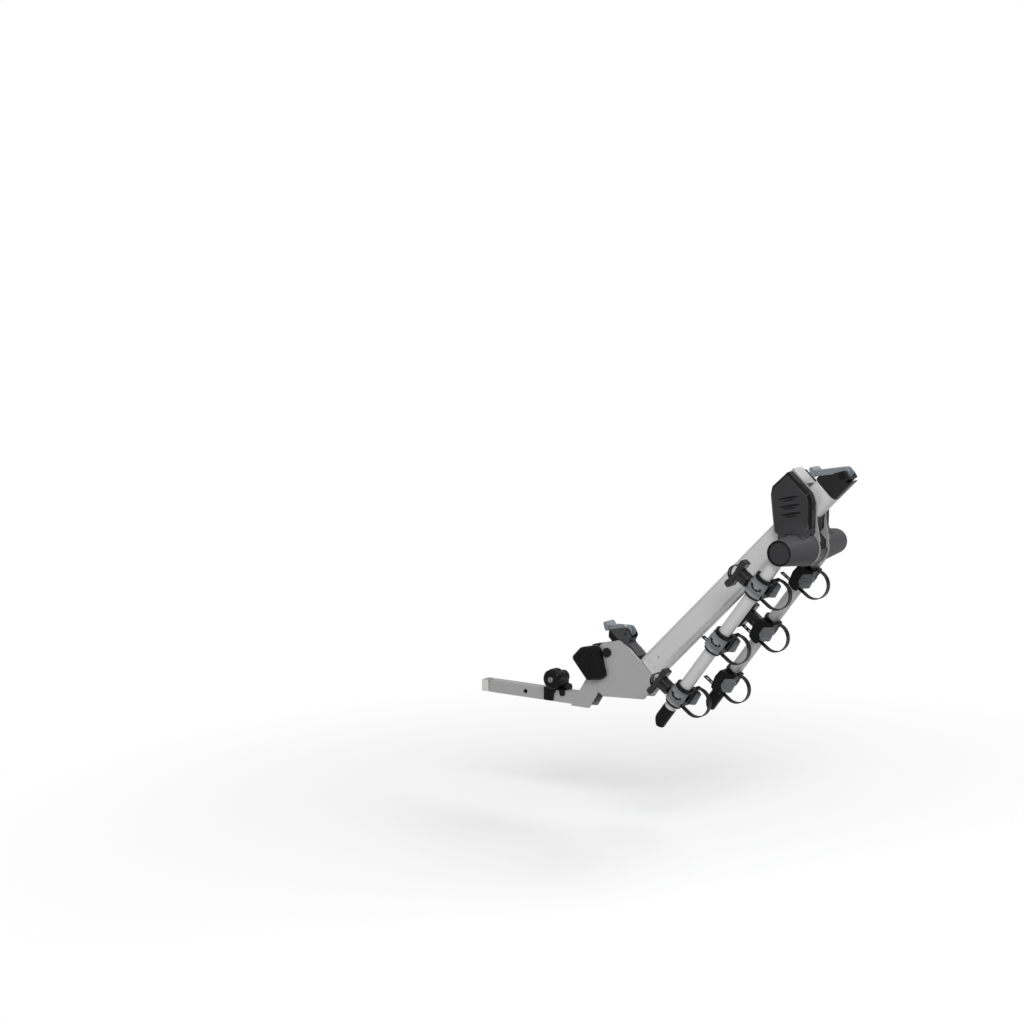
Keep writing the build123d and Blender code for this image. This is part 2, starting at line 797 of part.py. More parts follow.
def make_hub_tube():
    """Cross tube through the bracket with a spigot for each arm."""
    tube = slab(hub, disc(0, 0, hub_tube_radius), -hub_half_length + 6, hub_half_length - 6)
    spigot = arm_bar(0, 62, arm_radius - arm_wall - 0.02)
    core = tube + spigot + flip(spigot)
    core -= slab(hub, disc(0, 0, hub_tube_radius - hub_tube_wall), -200, 200)
    return core


def make_hub_cap():
    """End cap with a raised rim, right side."""
    inner = hub_half_length - hub_cap_depth
    rim = slab(hub, disc(0, 0, hub_end_radius - 0.5), inner, hub_half_length)
    rim = fillet(rim.edges().group_by(Axis.X)[-1], 1.2)
    rim -= slab(hub, disc(0, 0, hub_end_radius - 3.5), hub_half_length - 2.5, hub_half_length + 1)
    plug = slab(hub, disc(0, 0, hub_tube_radius - hub_tube_wall - 0.02), inner - 14, inner)
    return rim + plug


def make_hub_block():
    """Black block behind the mast that the folded arms rest on."""
    rest = -mast_depth / 2 - hub_below_fold - free_gap
    face = outline([(37, 18, 4), (22, 34, 4), (-10, 36.5, 0), (-40, 8, 0), (-30, -6, 4), (37, -6, 4)])
    face -= turned(bar(-200, 200, rest, 300), mast_angle)
    face -= disc(0, 0, hub_tube_radius + 0.05)
    block = slab(hub, face, -bracket_inner + 0.05, bracket_inner - 0.05)
    hole = moved_frame(hub, 41, 8).origin
    drill = Plane(origin=hole, z_dir=(0, 1, 0))
    return block - extrude(drill * Circle(3.0), amount=10)


def make_mast_pad():
    """Black pad on the rear of the mast, between the bracket plates."""
    side = outline([(-6, 45, 0), (30.5, 45, 3), (30.5, 78, 0), (20, 80, 0)])
    pad = slab(hub, side, -mast_half_width, mast_half_width)
    return pad - mast_tube(-0.05, mast_start, mast_end)


def make_hub_guard():
    """Curved strip that closes the bracket under the hub."""
    ring = disc(0, 0, 41.5) - disc(0, 0, 38.5)
    below = turned(bar(-60, 60, -60, -6), 8)
    return slab(hub, ring & below, -bracket_inner + 0.1, bracket_inner - 0.1)


def make_arm():
    """Arm tube, right side, slid over the hub spigot."""
    tube = arm_bar(arm_start, arm_length, arm_radius)
    tube -= arm_bar(arm_start - 1, arm_length + 1, arm_radius - arm_wall)
    cope = slab(hub, disc(0, 0, hub_tube_radius + 0.1), 100, 150)
    return tube - cope


def make_arm_cap():
    """End cap with a sloping nose, right side."""
    cap = arm_bar(arm_length + 0.1, arm_length + arm_cap_length, arm_radius + 1.2)
    nose = outline([
        (arm_length + 36, 30, 0),
        (arm_length + 36, 20, 0),
        (arm_length + arm_cap_length, -4, 8),
        (arm_length + arm_cap_length - 2, -30, 0),
        (arm_length + 90, -30, 0),
        (arm_length + 90, 30, 0),
    ])
    cap -= slab(arm, mirror(nose, about=Plane.XZ), 90, 160)
    plug = arm_bar(arm_length - 25, arm_length + 1, arm_radius - arm_wall - 0.02)
    return cap + plug


def cradle_frame(k):
    """Side frame on the arm at cradle k; across points to the loop side."""
    origin = arm.location * Location((cradle_first + k * cradle_pitch, 0, 0))
    return Plane(origin=origin.position, x_dir=arm.x_dir, z_dir=(-1, 0, 0))


def strap_outline():
    """Centreline ribbon of the ladder strap, loop side positive."""
    half = strap_thickness / 2
    loop = disc(0, strap_loop_height, strap_loop_radius + half)
    loop -= disc(0, strap_loop_height, strap_loop_radius - half)
    gap = outline([
        (0, strap_loop_height, 0),
        (-60, 8, 0),
        (-60, -20, 0),
        (strap_loop_radius - half, -20, 0),
        (strap_loop_radius - half, strap_loop_height - 2, 0),
    ])
    beyond = bar(0, 60, -20, strap_loop_height) - bar(0, strap_loop_radius + half, -20, strap_loop_height)
    ring = loop - gap - beyond
    tail = bar(strap_loop_radius - half, strap_loop_radius + half, -strap_tail, strap_loop_height)
    tip = disc(strap_loop_radius, -strap_tail, half)
    return ring + tail + tip


def ladder_windows():
    """Slots of the ladder strap, as radial bars across the ribbon."""
    windows = None
    first = 225
    step = math.degrees(strap_step / strap_loop_radius)
    count = int(235 / step)
    for k in range(count):
        angle = first - step * (k + 1)
        cell = turned(bar(strap_loop_radius - 3, strap_loop_radius + 3, -1.5, 1.5), angle)
        cell = Pos(0, strap_loop_height) * cell
        windows = cell if windows is None else windows + cell
    for k in range(int((strap_tail + strap_loop_height - 12) / strap_step)):
        low = -strap_tail + 4 + k * strap_step
        cell = bar(strap_loop_radius - 3, strap_loop_radius + 3, low, low + 3.0)
        windows = windows + cell
    return windows


strap_low = arm_side - strap_inset - strap_width / 2
strap_high = arm_side - strap_inset + strap_width / 2


def make_strap(k):
    """Ladder strap of one right-hand cradle."""
    frame = cradle_frame(k)
    ribbon = slab(frame, strap_outline(), strap_low, strap_high)
    middle = (strap_low + strap_high) / 2
    ribbon -= slab(frame, ladder_windows(), middle - 4.0, middle + 4.0)
    return ribbon


def ring_along(frame, low, high, outer, inner):
    """Ring round the right arm between two places along it."""
    start = frame.location * Location((low, 0, -arm_side))
    face = Plane(origin=start.position, x_dir=(1, 0, 0), z_dir=frame.x_dir)
    return extrude(face * (Circle(outer) - Circle(inner)), amount=high - low)


def make_cradle(k, with_cage):
    """Cradle body of one right-hand cradle: sleeve, saddle, strap box."""
    frame = cradle_frame(k)
    inner = arm_radius + sleeve_gap
    sleeve = ring_along(frame, -24, 34, inner + sleeve_wall, inner)
    lip = ring_along(frame, -24, -16, inner + sleeve_wall + 3.5, inner)
    foot = ring_along(frame, 28, 34, inner + sleeve_wall + 2.0, inner)
    box = outline([(-22, 22, 5), (10, 24, 6), (24, 12, 4), (42, 16, 4), (45, 4, 4),
                   (41, -14, 5), (10, -22, 6), (-14, -20, 5)])
    body = sleeve + lip + foot
    body += slab(frame, box, strap_low - 5, arm_side - 10)
    saddle = outline([(-30, 14, 2), (-34, 27, 3), (-22, 21, 6), (8, 19, 10), (26, 24, 3),
                      (30, 18, 3), (24, 12, 2)])
    body += slab(frame, saddle, strap_low - 4, arm_side + 2)
    body -= ring_along(frame, -60, 90, inner, 0.001)
    groove = outline(strap_clearance())
    body -= slab(frame, groove, strap_low - 0.4, strap_high + 0.4)
    loop_clear = disc(0, strap_loop_height, strap_loop_radius + 2.0)
    loop_clear -= disc(0, strap_loop_height, strap_loop_radius - 2.0)
    body -= slab(frame, loop_clear & (bar(-40, 40, 23.5, 90) + bar(-40, -26, 18, 90)), strap_low - 0.4, strap_high + 0.4)
    windows = None
    for angle in (-28, 0, 28):
        cell = Pos(0, 0) * bar(1.5, 8.5, -4.2, 4.2)
        cutter = slab(frame, cell, arm_side, arm_side + 40)
        cutter = cutter.rotate(Axis(arm_line_point(frame), arm.x_dir), angle)
        windows = cutter if windows is None else windows + cutter
    body -= windows
    body -= slab(frame, tab_outline(0.8), strap_low - 30, strap_low - 0.6)
    heel = tab_outline(0.8) & bar(-40, 60, -10, 10)
    body -= slab(frame, heel, strap_low - 30, strap_low + 1.4)
    body += tab_pin(frame, 1.8, -20, 30)
    if with_cage:
        post = cage_cylinder(frame, inner + 1, cage_bar_start - 4, cage_post_radius)
        body += post
    return body


def arm_line_point(frame):
    return (frame.location * Location((0, 0, -arm_side))).position


def strap_clearance():
    """Channel for the straight run of the strap."""
    near = strap_loop_radius - 1.9
    far = strap_loop_radius + 1.9
    return [(near, -60, 0), (far, -60, 0), (far, 60, 0), (near, 60, 0)]


def tab_outline(grow):
    """Release tab face, on the inner side of the cradle."""
    return outline([
        (-20 - grow, 22, 6),
        (-18 - grow, 33 + grow, 5),
        (14 + grow, 37 + grow, 4),
        (28 + grow, 20, 5),
        (18 + grow, 5 - grow, 7),
        (-4, 4 - grow, 8),
    ])


def tab_pin(frame, radius, low, high):
    """Hinge pin of the release tab, parallel to the arm."""
    start = frame.location * Location((low, 9, -(strap_low - 3.6)))
    face = Plane(origin=start.position, x_dir=(1, 0, 0), z_dir=frame.x_dir)
    return extrude(face * Circle(radius), amount=high - low)


def make_tab(k):
    """Release tab of one right-hand cradle."""
    frame = cradle_frame(k)
    tab = slab(frame, tab_outline(0.0), strap_low - 7.5, strap_low - 1.2)
    face = tab.faces().sort_by(Axis.X)[0]
    tab = chamfer(face.edges(), 1.2)
    tab -= tab_pin(frame, 1.8 + running_gap, -40, 60)
    return tab


def collar_face(low_angle, high_angle):
    """Ring sector round the arm, angles from the outer side to the loop."""
    inner = arm_radius + sleeve_gap + sleeve_wall + 0.1
    ring = Circle(collar_radius) - Circle(inner)
    middle = (low_angle + high_angle) / 2
    spread = (high_angle - low_angle) / 2
    wedge = outline([
        (0, 0, 0),
        (80 * math.cos(math.radians(spread)), 80 * math.sin(math.radians(spread)), 0),
        (120, 0, 0),
        (80 * math.cos(math.radians(spread)), -80 * math.sin(math.radians(spread)), 0),
    ])
    return ring & turned(wedge, middle)


def sector(frame, low, high, low_angle, high_angle):
    start = frame.location * Location((low, 0, -arm_side))
    face = Plane(origin=start.position, x_dir=(1, 0, 0), z_dir=frame.x_dir)
    return extrude(face * collar_face(low_angle, high_angle), amount=high - low)


def make_collar(k):
    """Grey collar on the outer side of one right-hand cradle."""
    frame = cradle_frame(k)
    upper = sector(frame, -15, 1, -66, 66)
    lower = sector(frame, 9, 27, -66, 66)
    links = sector(frame, 0, 10, -66, -46) + sector(frame, 0, 10, 46, 66)
    return upper + lower + links


def cage_cylinder(frame, low, high, radius):
    """Round bar pointing away from the loop side, under the arm."""
    start = frame.location * Location((cage_along, -low, -arm_side))
    down = (-frame.y_dir.X, -frame.y_dir.Y, -frame.y_dir.Z)
    face = Plane(origin=start.position, x_dir=(1, 0, 0), z_dir=down)
    return extrude(face * Circle(radius), amount=high - low)


def make_cage(k):
    """Steadying cage of one right-hand cradle: ribbed neck and toothed bar."""
    frame = cradle_frame(k)
    neck = cage_cylinder(frame, cage_neck_start, cage_bar_start, cage_neck_radius)
    for n in range(cage_rib_count):
        angle = math.radians(360.0 / cage_rib_count * n)
        start = frame.location * Location((cage_along + cage_neck_radius * math.cos(angle),
                                           -(cage_neck_start + 4),
                                           -arm_side + cage_neck_radius * math.sin(angle)))
        down = (-frame.y_dir.X, -frame.y_dir.Y, -frame.y_dir.Z)
        face = Plane(origin=start.position, x_dir=(1, 0, 0), z_dir=down)
        neck -= extrude(face * Circle(1.5), amount=cage_bar_start - cage_neck_start - 6)
    low = cage_along + 5 - cage_bar_length / 2
    high = low + cage_bar_length
    top = -cage_bar_start
    bottom = top - cage_bar_depth
    side = [(low, top, 3), (high - 10, top, 2), (high, top - 5, 3), (high - 2, bottom, 3)]
    side += [(high - 14, bottom, 3), (cage_along + 5, bottom + 4, 60), (low + 12, bottom, 3), (low, bottom, 3)]
    half = cage_bar_width / 2
    beam = slab(frame, outline(side), arm_side - half, arm_side + half)
    channel = bar(cage_along + 5 - 26, cage_along + 5 + 26, bottom - 30, bottom + cage_channel_depth)
    beam -= slab(frame, channel, arm_side - half + 4, arm_side + half - 4)
    for n in range(3):
        tooth = Pos(high - 5 - 4 * n, bottom) * Circle(1.5)
        beam += both_lips(frame, tooth, half)
    cage = neck + beam
    cage -= cage_cylinder(frame, cage_neck_start - 1, cage_bar_start - 3, cage_post_radius + running_gap)
    return cage


def both_lips(frame, face, half):
    first = slab(frame, face, arm_side - half, arm_side - half + 4)
    second = slab(frame, face, arm_side + half - 4, arm_side + half)
    return first + second


def make_cage_strap(k):
    """Short ladder strap lying in the cage's channel."""
    frame = cradle_frame(k)
    floor = -cage_bar_start - cage_bar_depth + cage_channel_depth
    middle = cage_along + 5
    arc = disc(middle, floor, cage_loop_radius) - disc(middle, floor, cage_loop_radius - 2.4)
    arc = arc & bar(middle - 30, middle + 30, floor - 40, floor)
    half = cage_bar_width / 2 - 4.2
    strap = slab(frame, arc, arm_side - half, arm_side + half)
    for n in range(7):
        cell = Pos(middle, floor) * turned(bar(18, 24, -1.4, 1.4), -90 + 14 * (n - 3))
        strap -= slab(frame, cell, arm_side - 3.6, arm_side + 3.6)
    return strap


def make_knob_saddle():
    """Clamp body that straddles the stinger and carries the knob shaft."""
    top = half_stinger + 0.1
    half = half_stinger + 4.0
    knob_low = knob_z - knob_radius
    body = slab(level, bar(62, 126, top, knob_low - 0.6), -half, half)
    body += slab(level, outline([
        (62, top, 0), (62, 27, 6), (80, 33, 8), (126, 29, 8), (126, top, 0)]), -knob_back + 0.5, half)
    cheek = outline([(62, top + 1, 0), (62, -12, 3), (66, -15, 2), (90, -15, 4), (92, 4, 8), (98, top + 1, 0)])
    rear = outline([(110, top + 1, 0), (112, 2, 6), (126, 2, 6), (126, top + 1, 0)])
    body += both_sides(level, cheek + rear, half_stinger + 0.1, half)
    boss = slab(level, disc(knob_u, knob_z, 17), -knob_back + 0.5, 20)
    stem = slab(level, bar(knob_u - 15, knob_u + 15, 24, knob_z), -knob_back + 0.5, 20)
    body += boss + stem
    body -= slab(level, disc(knob_u, knob_z, knob_shaft_radius + running_gap), -60, 60)
    window = bar(knob_u - 16, knob_u + 17, 0, knob_z + cam_radius + 3)
    body -= slab(level, window, -4.6, 4.6)
    return body


def make_knob():
    """Clamp knob with its cam shaft, on the left side."""
    body = slab(level, disc(knob_u, knob_z, knob_radius), -knob_face, -knob_back)
    edges = body.edges().group_by(Axis.X)
    body = fillet(edges[0], 11.0)
    body = fillet(body.edges().group_by(Axis.X)[-1], 5.0)
    for n in range(6):
        cell = Pos(knob_u, knob_z) * turned(Pos(knob_radius + 7.5, 0) * Circle(10.0), 60 * n)
        body -= slab(level, cell, -knob_face - 1, -knob_back + 1)
    body -= slab(level, disc(knob_u, knob_z, lock_radius + running_gap), -knob_face - 1, -knob_face + 16)
    shaft = slab(level, disc(knob_u, knob_z, knob_shaft_radius), -knob_back, 24)
    cam = slab(level, disc(knob_u - cam_throw, knob_z, cam_radius), -4.0, 4.0)
    return body + shaft + cam


def make_lock():
    """Lock barrel in the knob's face, with a key slot."""
    barrel = slab(level, disc(knob_u, knob_z, lock_radius), -knob_face - 1.5, -knob_face + 15)
    barrel = chamfer(barrel.edges().group_by(Axis.X)[0], 0.8)
    slot = slab(level, Pos(knob_u, knob_z) * Rectangle(1.6, 8), -knob_face - 2, -knob_face + 6)
    return barrel - slot


def make_wedge():
    """Draw bar inside the stinger, from the knob's cam to the front wedge."""
    inside = half_stinger - stinger_wall - 0.4
    back = -stinger_front - wedge_travel - free_gap
    wedge = slab(level, outline([(back - 22, -half_stinger, 2), (back, -half_stinger, 0),
                                 (back, half_stinger, 0), (back - 22, half_stinger, 2)]),
                 -half_stinger, half_stinger)
    neck = slab(level, bar(back, -stinger_front + 18, -inside, inside), -inside, inside)
    draw_bar = bar(-stinger_front, knob_u + 5, -5, 5) + bar(-20, 20, -inside, inside)
    draw_bar -= bar(-14, 14, -8, 8)
    cam_u = knob_u - cam_throw
    fork_low = knob_z - cam_radius - cam_throw - 0.7
    draw_bar += bar(cam_u - 3, cam_u + 8, -5, fork_low)
    fork = bar(cam_u - cam_radius - 3.5, cam_u + cam_radius + 3.5, fork_low - 3, knob_z + 2)
    fork -= bar(cam_u - cam_radius - 0.7, cam_u + cam_radius + 0.7, fork_low, knob_z + 3)
    return wedge + neck + slab(level, draw_bar + fork, -4, 4)


def build():
    parts["base_frame"] = make_base_frame()
    right_cover, right_screws = make_base_covers()
    parts["left_base_cover"] = flip(right_cover)
    parts["right_base_cover"] = right_cover
    parts["base_cover_screws"] = right_screws + flip(right_screws)
    parts["tilt_bolt"] = make_tilt_bolt()
    parts["knob_saddle"] = make_knob_saddle()
    parts["clamp_knob"] = make_knob()
    parts["lock_barrel"] = make_lock()
    parts["stinger_wedge"] = make_wedge()

    left_plate, right_plate = make_foot_plates()
    parts["left_foot_plate"] = left_plate
    parts["right_foot_plate"] = right_plate
    parts["foot_plate_pins"] = make_foot_pins() + make_housing_pins()
    parts["tilt_stop"] = make_tilt_stop()
    parts["mast_tube"] = make_mast()
    parts["foot_latch_housing"] = make_foot_housing()
    parts["foot_lever"] = make_lever(foot_boss, foot_lever_length, foot_lever_angle)
    parts["foot_latch_rod"] = make_latch_rod(0, 0, tilt_drum_radius, foot_boss_along, foot_rod_across)
    parts["lever_pins"] = make_lever_pin(foot_boss, 18) + make_lever_pin(top_boss, mast_half_width - 1)
    parts["top_cap"] = make_top_cap()
    parts["top_lever"] = make_lever(top_boss, top_lever_length, top_lever_angle)
    parts["fold_latch_rod"] = make_latch_rod(
        fold_along, fold_across, fold_drum_radius, top_boss_along, top_rod_across)
    parts["mast_pad"] = make_mast_pad()
    parts["hub_bracket"] = make_bracket()
    parts["fold_shaft"] = make_fold_shaft()
    parts["hub_block"] = make_hub_block()
    parts["hub_guard"] = make_hub_guard()
    cover = make_side_cover()
    parts["left_side_cover"] = flip(cover)
    parts["right_side_cover"] = cover

    parts["hub_tube"] = make_hub_tube()
    shell = make_hub_shell()
    parts["left_hub_shell"] = flip(shell)
    parts["right_hub_shell"] = shell
    hub_cap = make_hub_cap()
    parts["hub_caps"] = hub_cap + flip(hub_cap)
    arm_tube = make_arm()
    parts["left_arm"] = flip(arm_tube)
    parts["right_arm"] = arm_tube
    arm_cap = make_arm_cap()
    parts["arm_caps"] = arm_cap + flip(arm_cap)

    collars = []
    for side in ("left", "right"):
        for k in range(cradle_count):
            place = side + "_" + str(k + 1)
            pieces = {
                "cradle_" + place: make_cradle(k, k in caged[side]),
                "strap_" + place: make_strap(k),
                "tab_" + place: make_tab(k),
            }
            collar = make_collar(k)
            if k in caged[side]:
                pieces["cage_" + place] = make_cage(k)
                pieces["cage_strap_" + place] = make_cage_strap(k)
            if side == "left":
                pieces = {name: flip(piece) for name, piece in pieces.items()}
                collar = flip(collar)
            parts.update(pieces)
            collars.append(collar)
    parts["collars"] = Compound(collars)


build()
for name, solid in parts.items():
    export_step(solid, "parts/" + name + ".step")
print(len(parts), "nodes")
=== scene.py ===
"""Looks of a hitch bike rack: a tilting mast with two folding arms and strap cradles.

Sizes are written in millimetres and degrees, and MM turns them into the frame's metres.
"""

import json
import math

import bpy
from mathutils import Matrix, Vector


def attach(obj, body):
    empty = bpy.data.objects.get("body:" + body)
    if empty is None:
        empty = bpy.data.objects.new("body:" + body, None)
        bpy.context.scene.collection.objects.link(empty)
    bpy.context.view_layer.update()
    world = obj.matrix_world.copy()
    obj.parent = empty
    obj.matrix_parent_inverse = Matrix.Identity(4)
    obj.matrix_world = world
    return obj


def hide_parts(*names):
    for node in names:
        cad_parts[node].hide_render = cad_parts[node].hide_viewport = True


bl_info = {
    "name": "Hitch Bike Rack",
    "version": (1, 0, 0),
    "blender": (4, 5, 0),
    "location": "View3D > Sidebar > Rack",
    "description": "Finishes and details for a hitch bike rack",
    "category": "Object",
}

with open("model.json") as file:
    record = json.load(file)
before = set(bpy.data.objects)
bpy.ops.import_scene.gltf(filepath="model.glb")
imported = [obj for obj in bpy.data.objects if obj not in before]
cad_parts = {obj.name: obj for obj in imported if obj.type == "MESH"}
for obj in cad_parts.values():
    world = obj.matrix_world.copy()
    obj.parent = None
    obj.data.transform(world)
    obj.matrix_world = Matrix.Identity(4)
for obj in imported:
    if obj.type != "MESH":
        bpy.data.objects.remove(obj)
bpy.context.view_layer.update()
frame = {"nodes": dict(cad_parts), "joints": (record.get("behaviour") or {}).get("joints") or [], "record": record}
NODES = frame["nodes"]
NODE_SLOT = {part["node"]: part["material_slot"] for part in frame["record"]["subparts"]}
BODIES = frame["record"]["behaviour"]["bodies"]
NODE_BODY = {node: body for body, nodes in BODIES.items() for node in nodes}
JOINTS = {joint["name"]: joint for joint in frame["joints"]}
FINISHES = {}


# Directions, places and sizes that several pieces share

MM = 0.001
SIDES = (("left", -1), ("right", 1))

# A face looks along a direction when the cosine between them is above this
FACING = 0.9


def side_axes(angle):
    """Along and across directions of a line in the side view that rises to the rear by angle."""
    turn = math.radians(angle)
    return Vector((0, -math.cos(turn), math.sin(turn))), Vector((0, math.sin(turn), math.cos(turn)))


ACROSS_X = Vector((1, 0, 0))
FORWARD = Vector((0, 1, 0))
UP = Vector((0, 0, 1))
MAST_ALONG, MAST_ACROSS = side_axes(45.3)
ARM_ALONG, ARM_ACROSS = side_axes(233.5)
UPRIGHT = (ACROSS_X, FORWARD, UP)
ON_MAST = (ACROSS_X, MAST_ACROSS, MAST_ALONG)
ON_ARM = (ACROSS_X, ARM_ACROSS, ARM_ALONG)

# The mast is measured from its tilt pivot, along a line that its centre lies MAST_DROP below
PIVOT = Vector(JOINTS["mast_tilt"]["pos_m"])
FOLD = Vector(JOINTS["arm_fold"]["pos_m"])
MAST_START = 62.0
MAST_END = 743.0
MAST_DROP = 104.5
MAST_WIDTH = 44.0
MAST_DEPTH = 67.0
HUB_ALONG = 607.0
HUB_DROP = 169.0
HUB = PIVOT + MAST_ALONG * HUB_ALONG * MM - MAST_ACROSS * HUB_DROP * MM

# The arms are measured from the hub's axis
ARM_SIDE = 127.0
ARM_START = 22.0
ARM_END = 505.0
ARM_RADIUS = 15.9
ARM_BORE = 13.9
CRADLE_FIRST = 102.0
CRADLE_PITCH = 177.8
CRADLES_PER_ARM = 3
COLLAR_GAP_BEYOND_CRADLE = 5.0
CAGED_CRADLES = ("left_1", "left_3", "right_2")


def mast_point(along, across, x=0.0):
    """Place along and across the mast's line through its pivot."""
    return PIVOT + (MAST_ALONG * along + MAST_ACROSS * across + ACROSS_X * x) * MM


def arm_point(along, across, x=ARM_SIDE):
    """Place along and across an arm's centre line, from the hub's axis."""
    return HUB + (ARM_ALONG * along + ARM_ACROSS * across + ACROSS_X * x) * MM


def hub_point(behind, above, x=0.0):
    """Place behind and above the hub's centre."""
    return HUB + Vector((x, -behind, above)) * MM


def cradle_places():
    """Name, place along its arm and side of each cradle."""
    for side, sign in SIDES:
        for number in range(CRADLES_PER_ARM):
            yield "%s_%d" % (side, number + 1), CRADLE_FIRST + CRADLE_PITCH * number, sign


# Selection


def pick(*pieces):
    """Select only these pieces, the first one active."""
    bpy.ops.object.select_all(action="DESELECT")
    for piece in pieces:
        piece.select_set(True)
    bpy.context.view_layer.objects.active = pieces[0]


def object_mode():
    """Leave edit mode."""
    bpy.ops.object.mode_set(mode="OBJECT")


def edit_all(piece):
    """Open the piece in edit mode with everything selected."""
    pick(piece)
    bpy.ops.object.mode_set(mode="EDIT")
    bpy.ops.mesh.select_all(action="SELECT")


def edit_some(piece, kind, test):
    """Open the piece in edit mode with those of its vertices, edges or faces that pass the test."""
    pick(piece)
    bpy.ops.object.mode_set(mode="EDIT")
    bpy.ops.mesh.select_mode(type=kind)
    bpy.ops.mesh.select_all(action="DESELECT")
    object_mode()
    mesh = piece.data
    for part in {"VERT": mesh.vertices, "EDGE": mesh.edges, "FACE": mesh.polygons}[kind]:
        part.select = test(part)
    bpy.ops.object.mode_set(mode="EDIT")


# Shaping


def settle(piece):
    """Put the piece's place, turn and size into its mesh."""
    pick(piece)
    bpy.ops.object.transform_apply(location=True, rotation=True, scale=True)


def outward(piece):
    """Turn every face of the piece outwards."""
    edit_all(piece)
    bpy.ops.mesh.normals_make_consistent(inside=False)
    object_mode()


def place(piece, origin, x_axis, y_axis, z_axis):
    """Stand the piece's own axes along three directions, and keep its faces outward."""
    turn = Matrix((x_axis, y_axis, z_axis)).transposed().to_4x4()
    piece.matrix_world = Matrix.Translation(origin) @ turn
    settle(piece)
    outward(piece)


def apply_all(piece):
    """Apply every modifier in order."""
    pick(piece)
    for name in [modifier.name for modifier in piece.modifiers]:
        bpy.ops.object.modifier_apply(modifier=name)


def combine(piece, other, operation):
    """Take the other closed body out of the piece, or add it, and remove that body."""
    change = piece.modifiers.new("combine", "BOOLEAN")
    change.operation = operation
    change.solver = "EXACT"
    change.object = other
    apply_all(piece)
    bpy.data.objects.remove(other)


def cut(piece, cutter):
    """Take the cutter out of the piece."""
    combine(piece, cutter, "DIFFERENCE")


def unite(piece, other):
    """Grow the other closed body into the piece."""
    combine(piece, other, "UNION")


def trim(piece, point, outward_side):
    """Cut away and close what lies beyond a plane."""
    edit_all(piece)
    bpy.ops.mesh.bisect(plane_co=point, plane_no=outward_side, clear_outer=True, use_fill=True)
    object_mode()


def join(first, *others):
    """One piece out of several."""
    pick(first, *others)
    bpy.ops.object.join()
    return first


def block(name, size, bevel=0.0, segments=3):
    """Box about its own origin, its edges rounded where a bevel is given."""
    bpy.ops.mesh.primitive_cube_add(size=1)
    piece = bpy.context.object
    piece.name = name
    edit_all(piece)
    bpy.ops.transform.resize(value=[length * MM for length in size])
    if bevel:
        bpy.ops.mesh.bevel(offset=bevel * MM, segments=segments, affect="EDGES")
    object_mode()
    return piece


def lens(name, half_length, half_width, half_depth):
    """Pointed oval body about its own origin: length on Z, width on Y, depth on X."""
    bpy.ops.mesh.primitive_uv_sphere_add(segments=24, ring_count=32, radius=1)
    piece = bpy.context.object
    piece.name = name
    edit_all(piece)
    bpy.ops.transform.resize(value=(half_depth * MM, half_width * MM, half_length * MM))
    object_mode()
    return piece


def weld():
    """Merge doubled vertices of the piece in edit mode, and turn its faces outwards."""
    bpy.ops.mesh.select_all(action="SELECT")
    bpy.ops.mesh.remove_doubles(threshold=0.000001)
    bpy.ops.mesh.normals_make_consistent(inside=False)


def turned(name, stations, sides=96, hollow=False):
    """Body turned about its own Z through stations of height and radius."""
    closing_radius = 1.0
    height, radius = stations[0]
    bpy.ops.mesh.primitive_circle_add(vertices=sides, radius=radius * MM, location=(0, 0, height * MM),
                                      fill_type="NOTHING" if hollow else "NGON")
    piece = bpy.context.object
    piece.name = name
    settle(piece)
    bpy.ops.object.mode_set(mode="EDIT")
    bpy.ops.mesh.select_mode(type="VERT")
    bpy.ops.mesh.select_all(action="SELECT")
    for (low, thin), (high, wide) in zip(stations, stations[1:]):
        bpy.ops.mesh.extrude_region_move(TRANSFORM_OT_translate={"value": (0, 0, (high - low) * MM)})
        if wide != thin:
            ratio = wide / thin
            bpy.ops.transform.resize(value=(ratio, ratio, 1), center_override=(0, 0, high * MM))
    if stations[-1][1] < closing_radius:
        bpy.ops.mesh.merge(type="CENTER")
    weld()
    object_mode()
    return piece


def smooth_shade(piece, angle=38):
    """Smooth shading that keeps corners sharper than angle."""
    pick(piece)
    bpy.ops.object.shade_smooth_by_angle(angle=math.radians(angle))


def soften(piece, edge, segments=2, angle=32.0):
    """Rounded edges beside faces that keep their flat shading."""
    bevel = piece.modifiers.new("edge", "BEVEL")
    bevel.width = edge * MM
    bevel.segments = segments
    bevel.limit_method = "ANGLE"
    bevel.angle_limit = math.radians(angle)
    bevel.use_clamp_overlap = True
    bevel.miter_outer = "MITER_ARC"
    apply_all(piece)
    smooth_shade(piece)
    level = piece.modifiers.new("level", "WEIGHTED_NORMAL")
    level.mode = "FACE_AREA"
    level.weight = 60
    level.keep_sharp = True
    apply_all(piece)


def moulded(piece, cell, passes, regrow=0.0):
    """One smooth skin over the piece, with soft inner corners, grown back by what smoothing takes."""
    skin = piece.modifiers.new("skin", "REMESH")
    skin.mode = "VOXEL"
    skin.voxel_size = cell * MM
    skin.adaptivity = 0.0
    smooth = piece.modifiers.new("smooth", "SMOOTH")
    smooth.factor = 0.5
    smooth.iterations = passes
    if regrow:
        swell = piece.modifiers.new("regrow", "DISPLACE")
        swell.strength = regrow * MM
        swell.mid_level = 0.0
    apply_all(piece)
    pick(piece)
    bpy.ops.object.shade_smooth()


# Nodes of the frame


def cad_copy(node, name):
    """Merged copy of a CAD node's mesh as a piece of its own."""
    piece = bpy.data.objects.new(name, NODES[node].data.copy())
    bpy.context.scene.collection.objects.link(piece)
    edit_all(piece)
    bpy.ops.mesh.remove_doubles(threshold=0.00001)
    bpy.ops.mesh.dissolve_limited(angle_limit=math.radians(0.8))
    object_mode()
    return piece


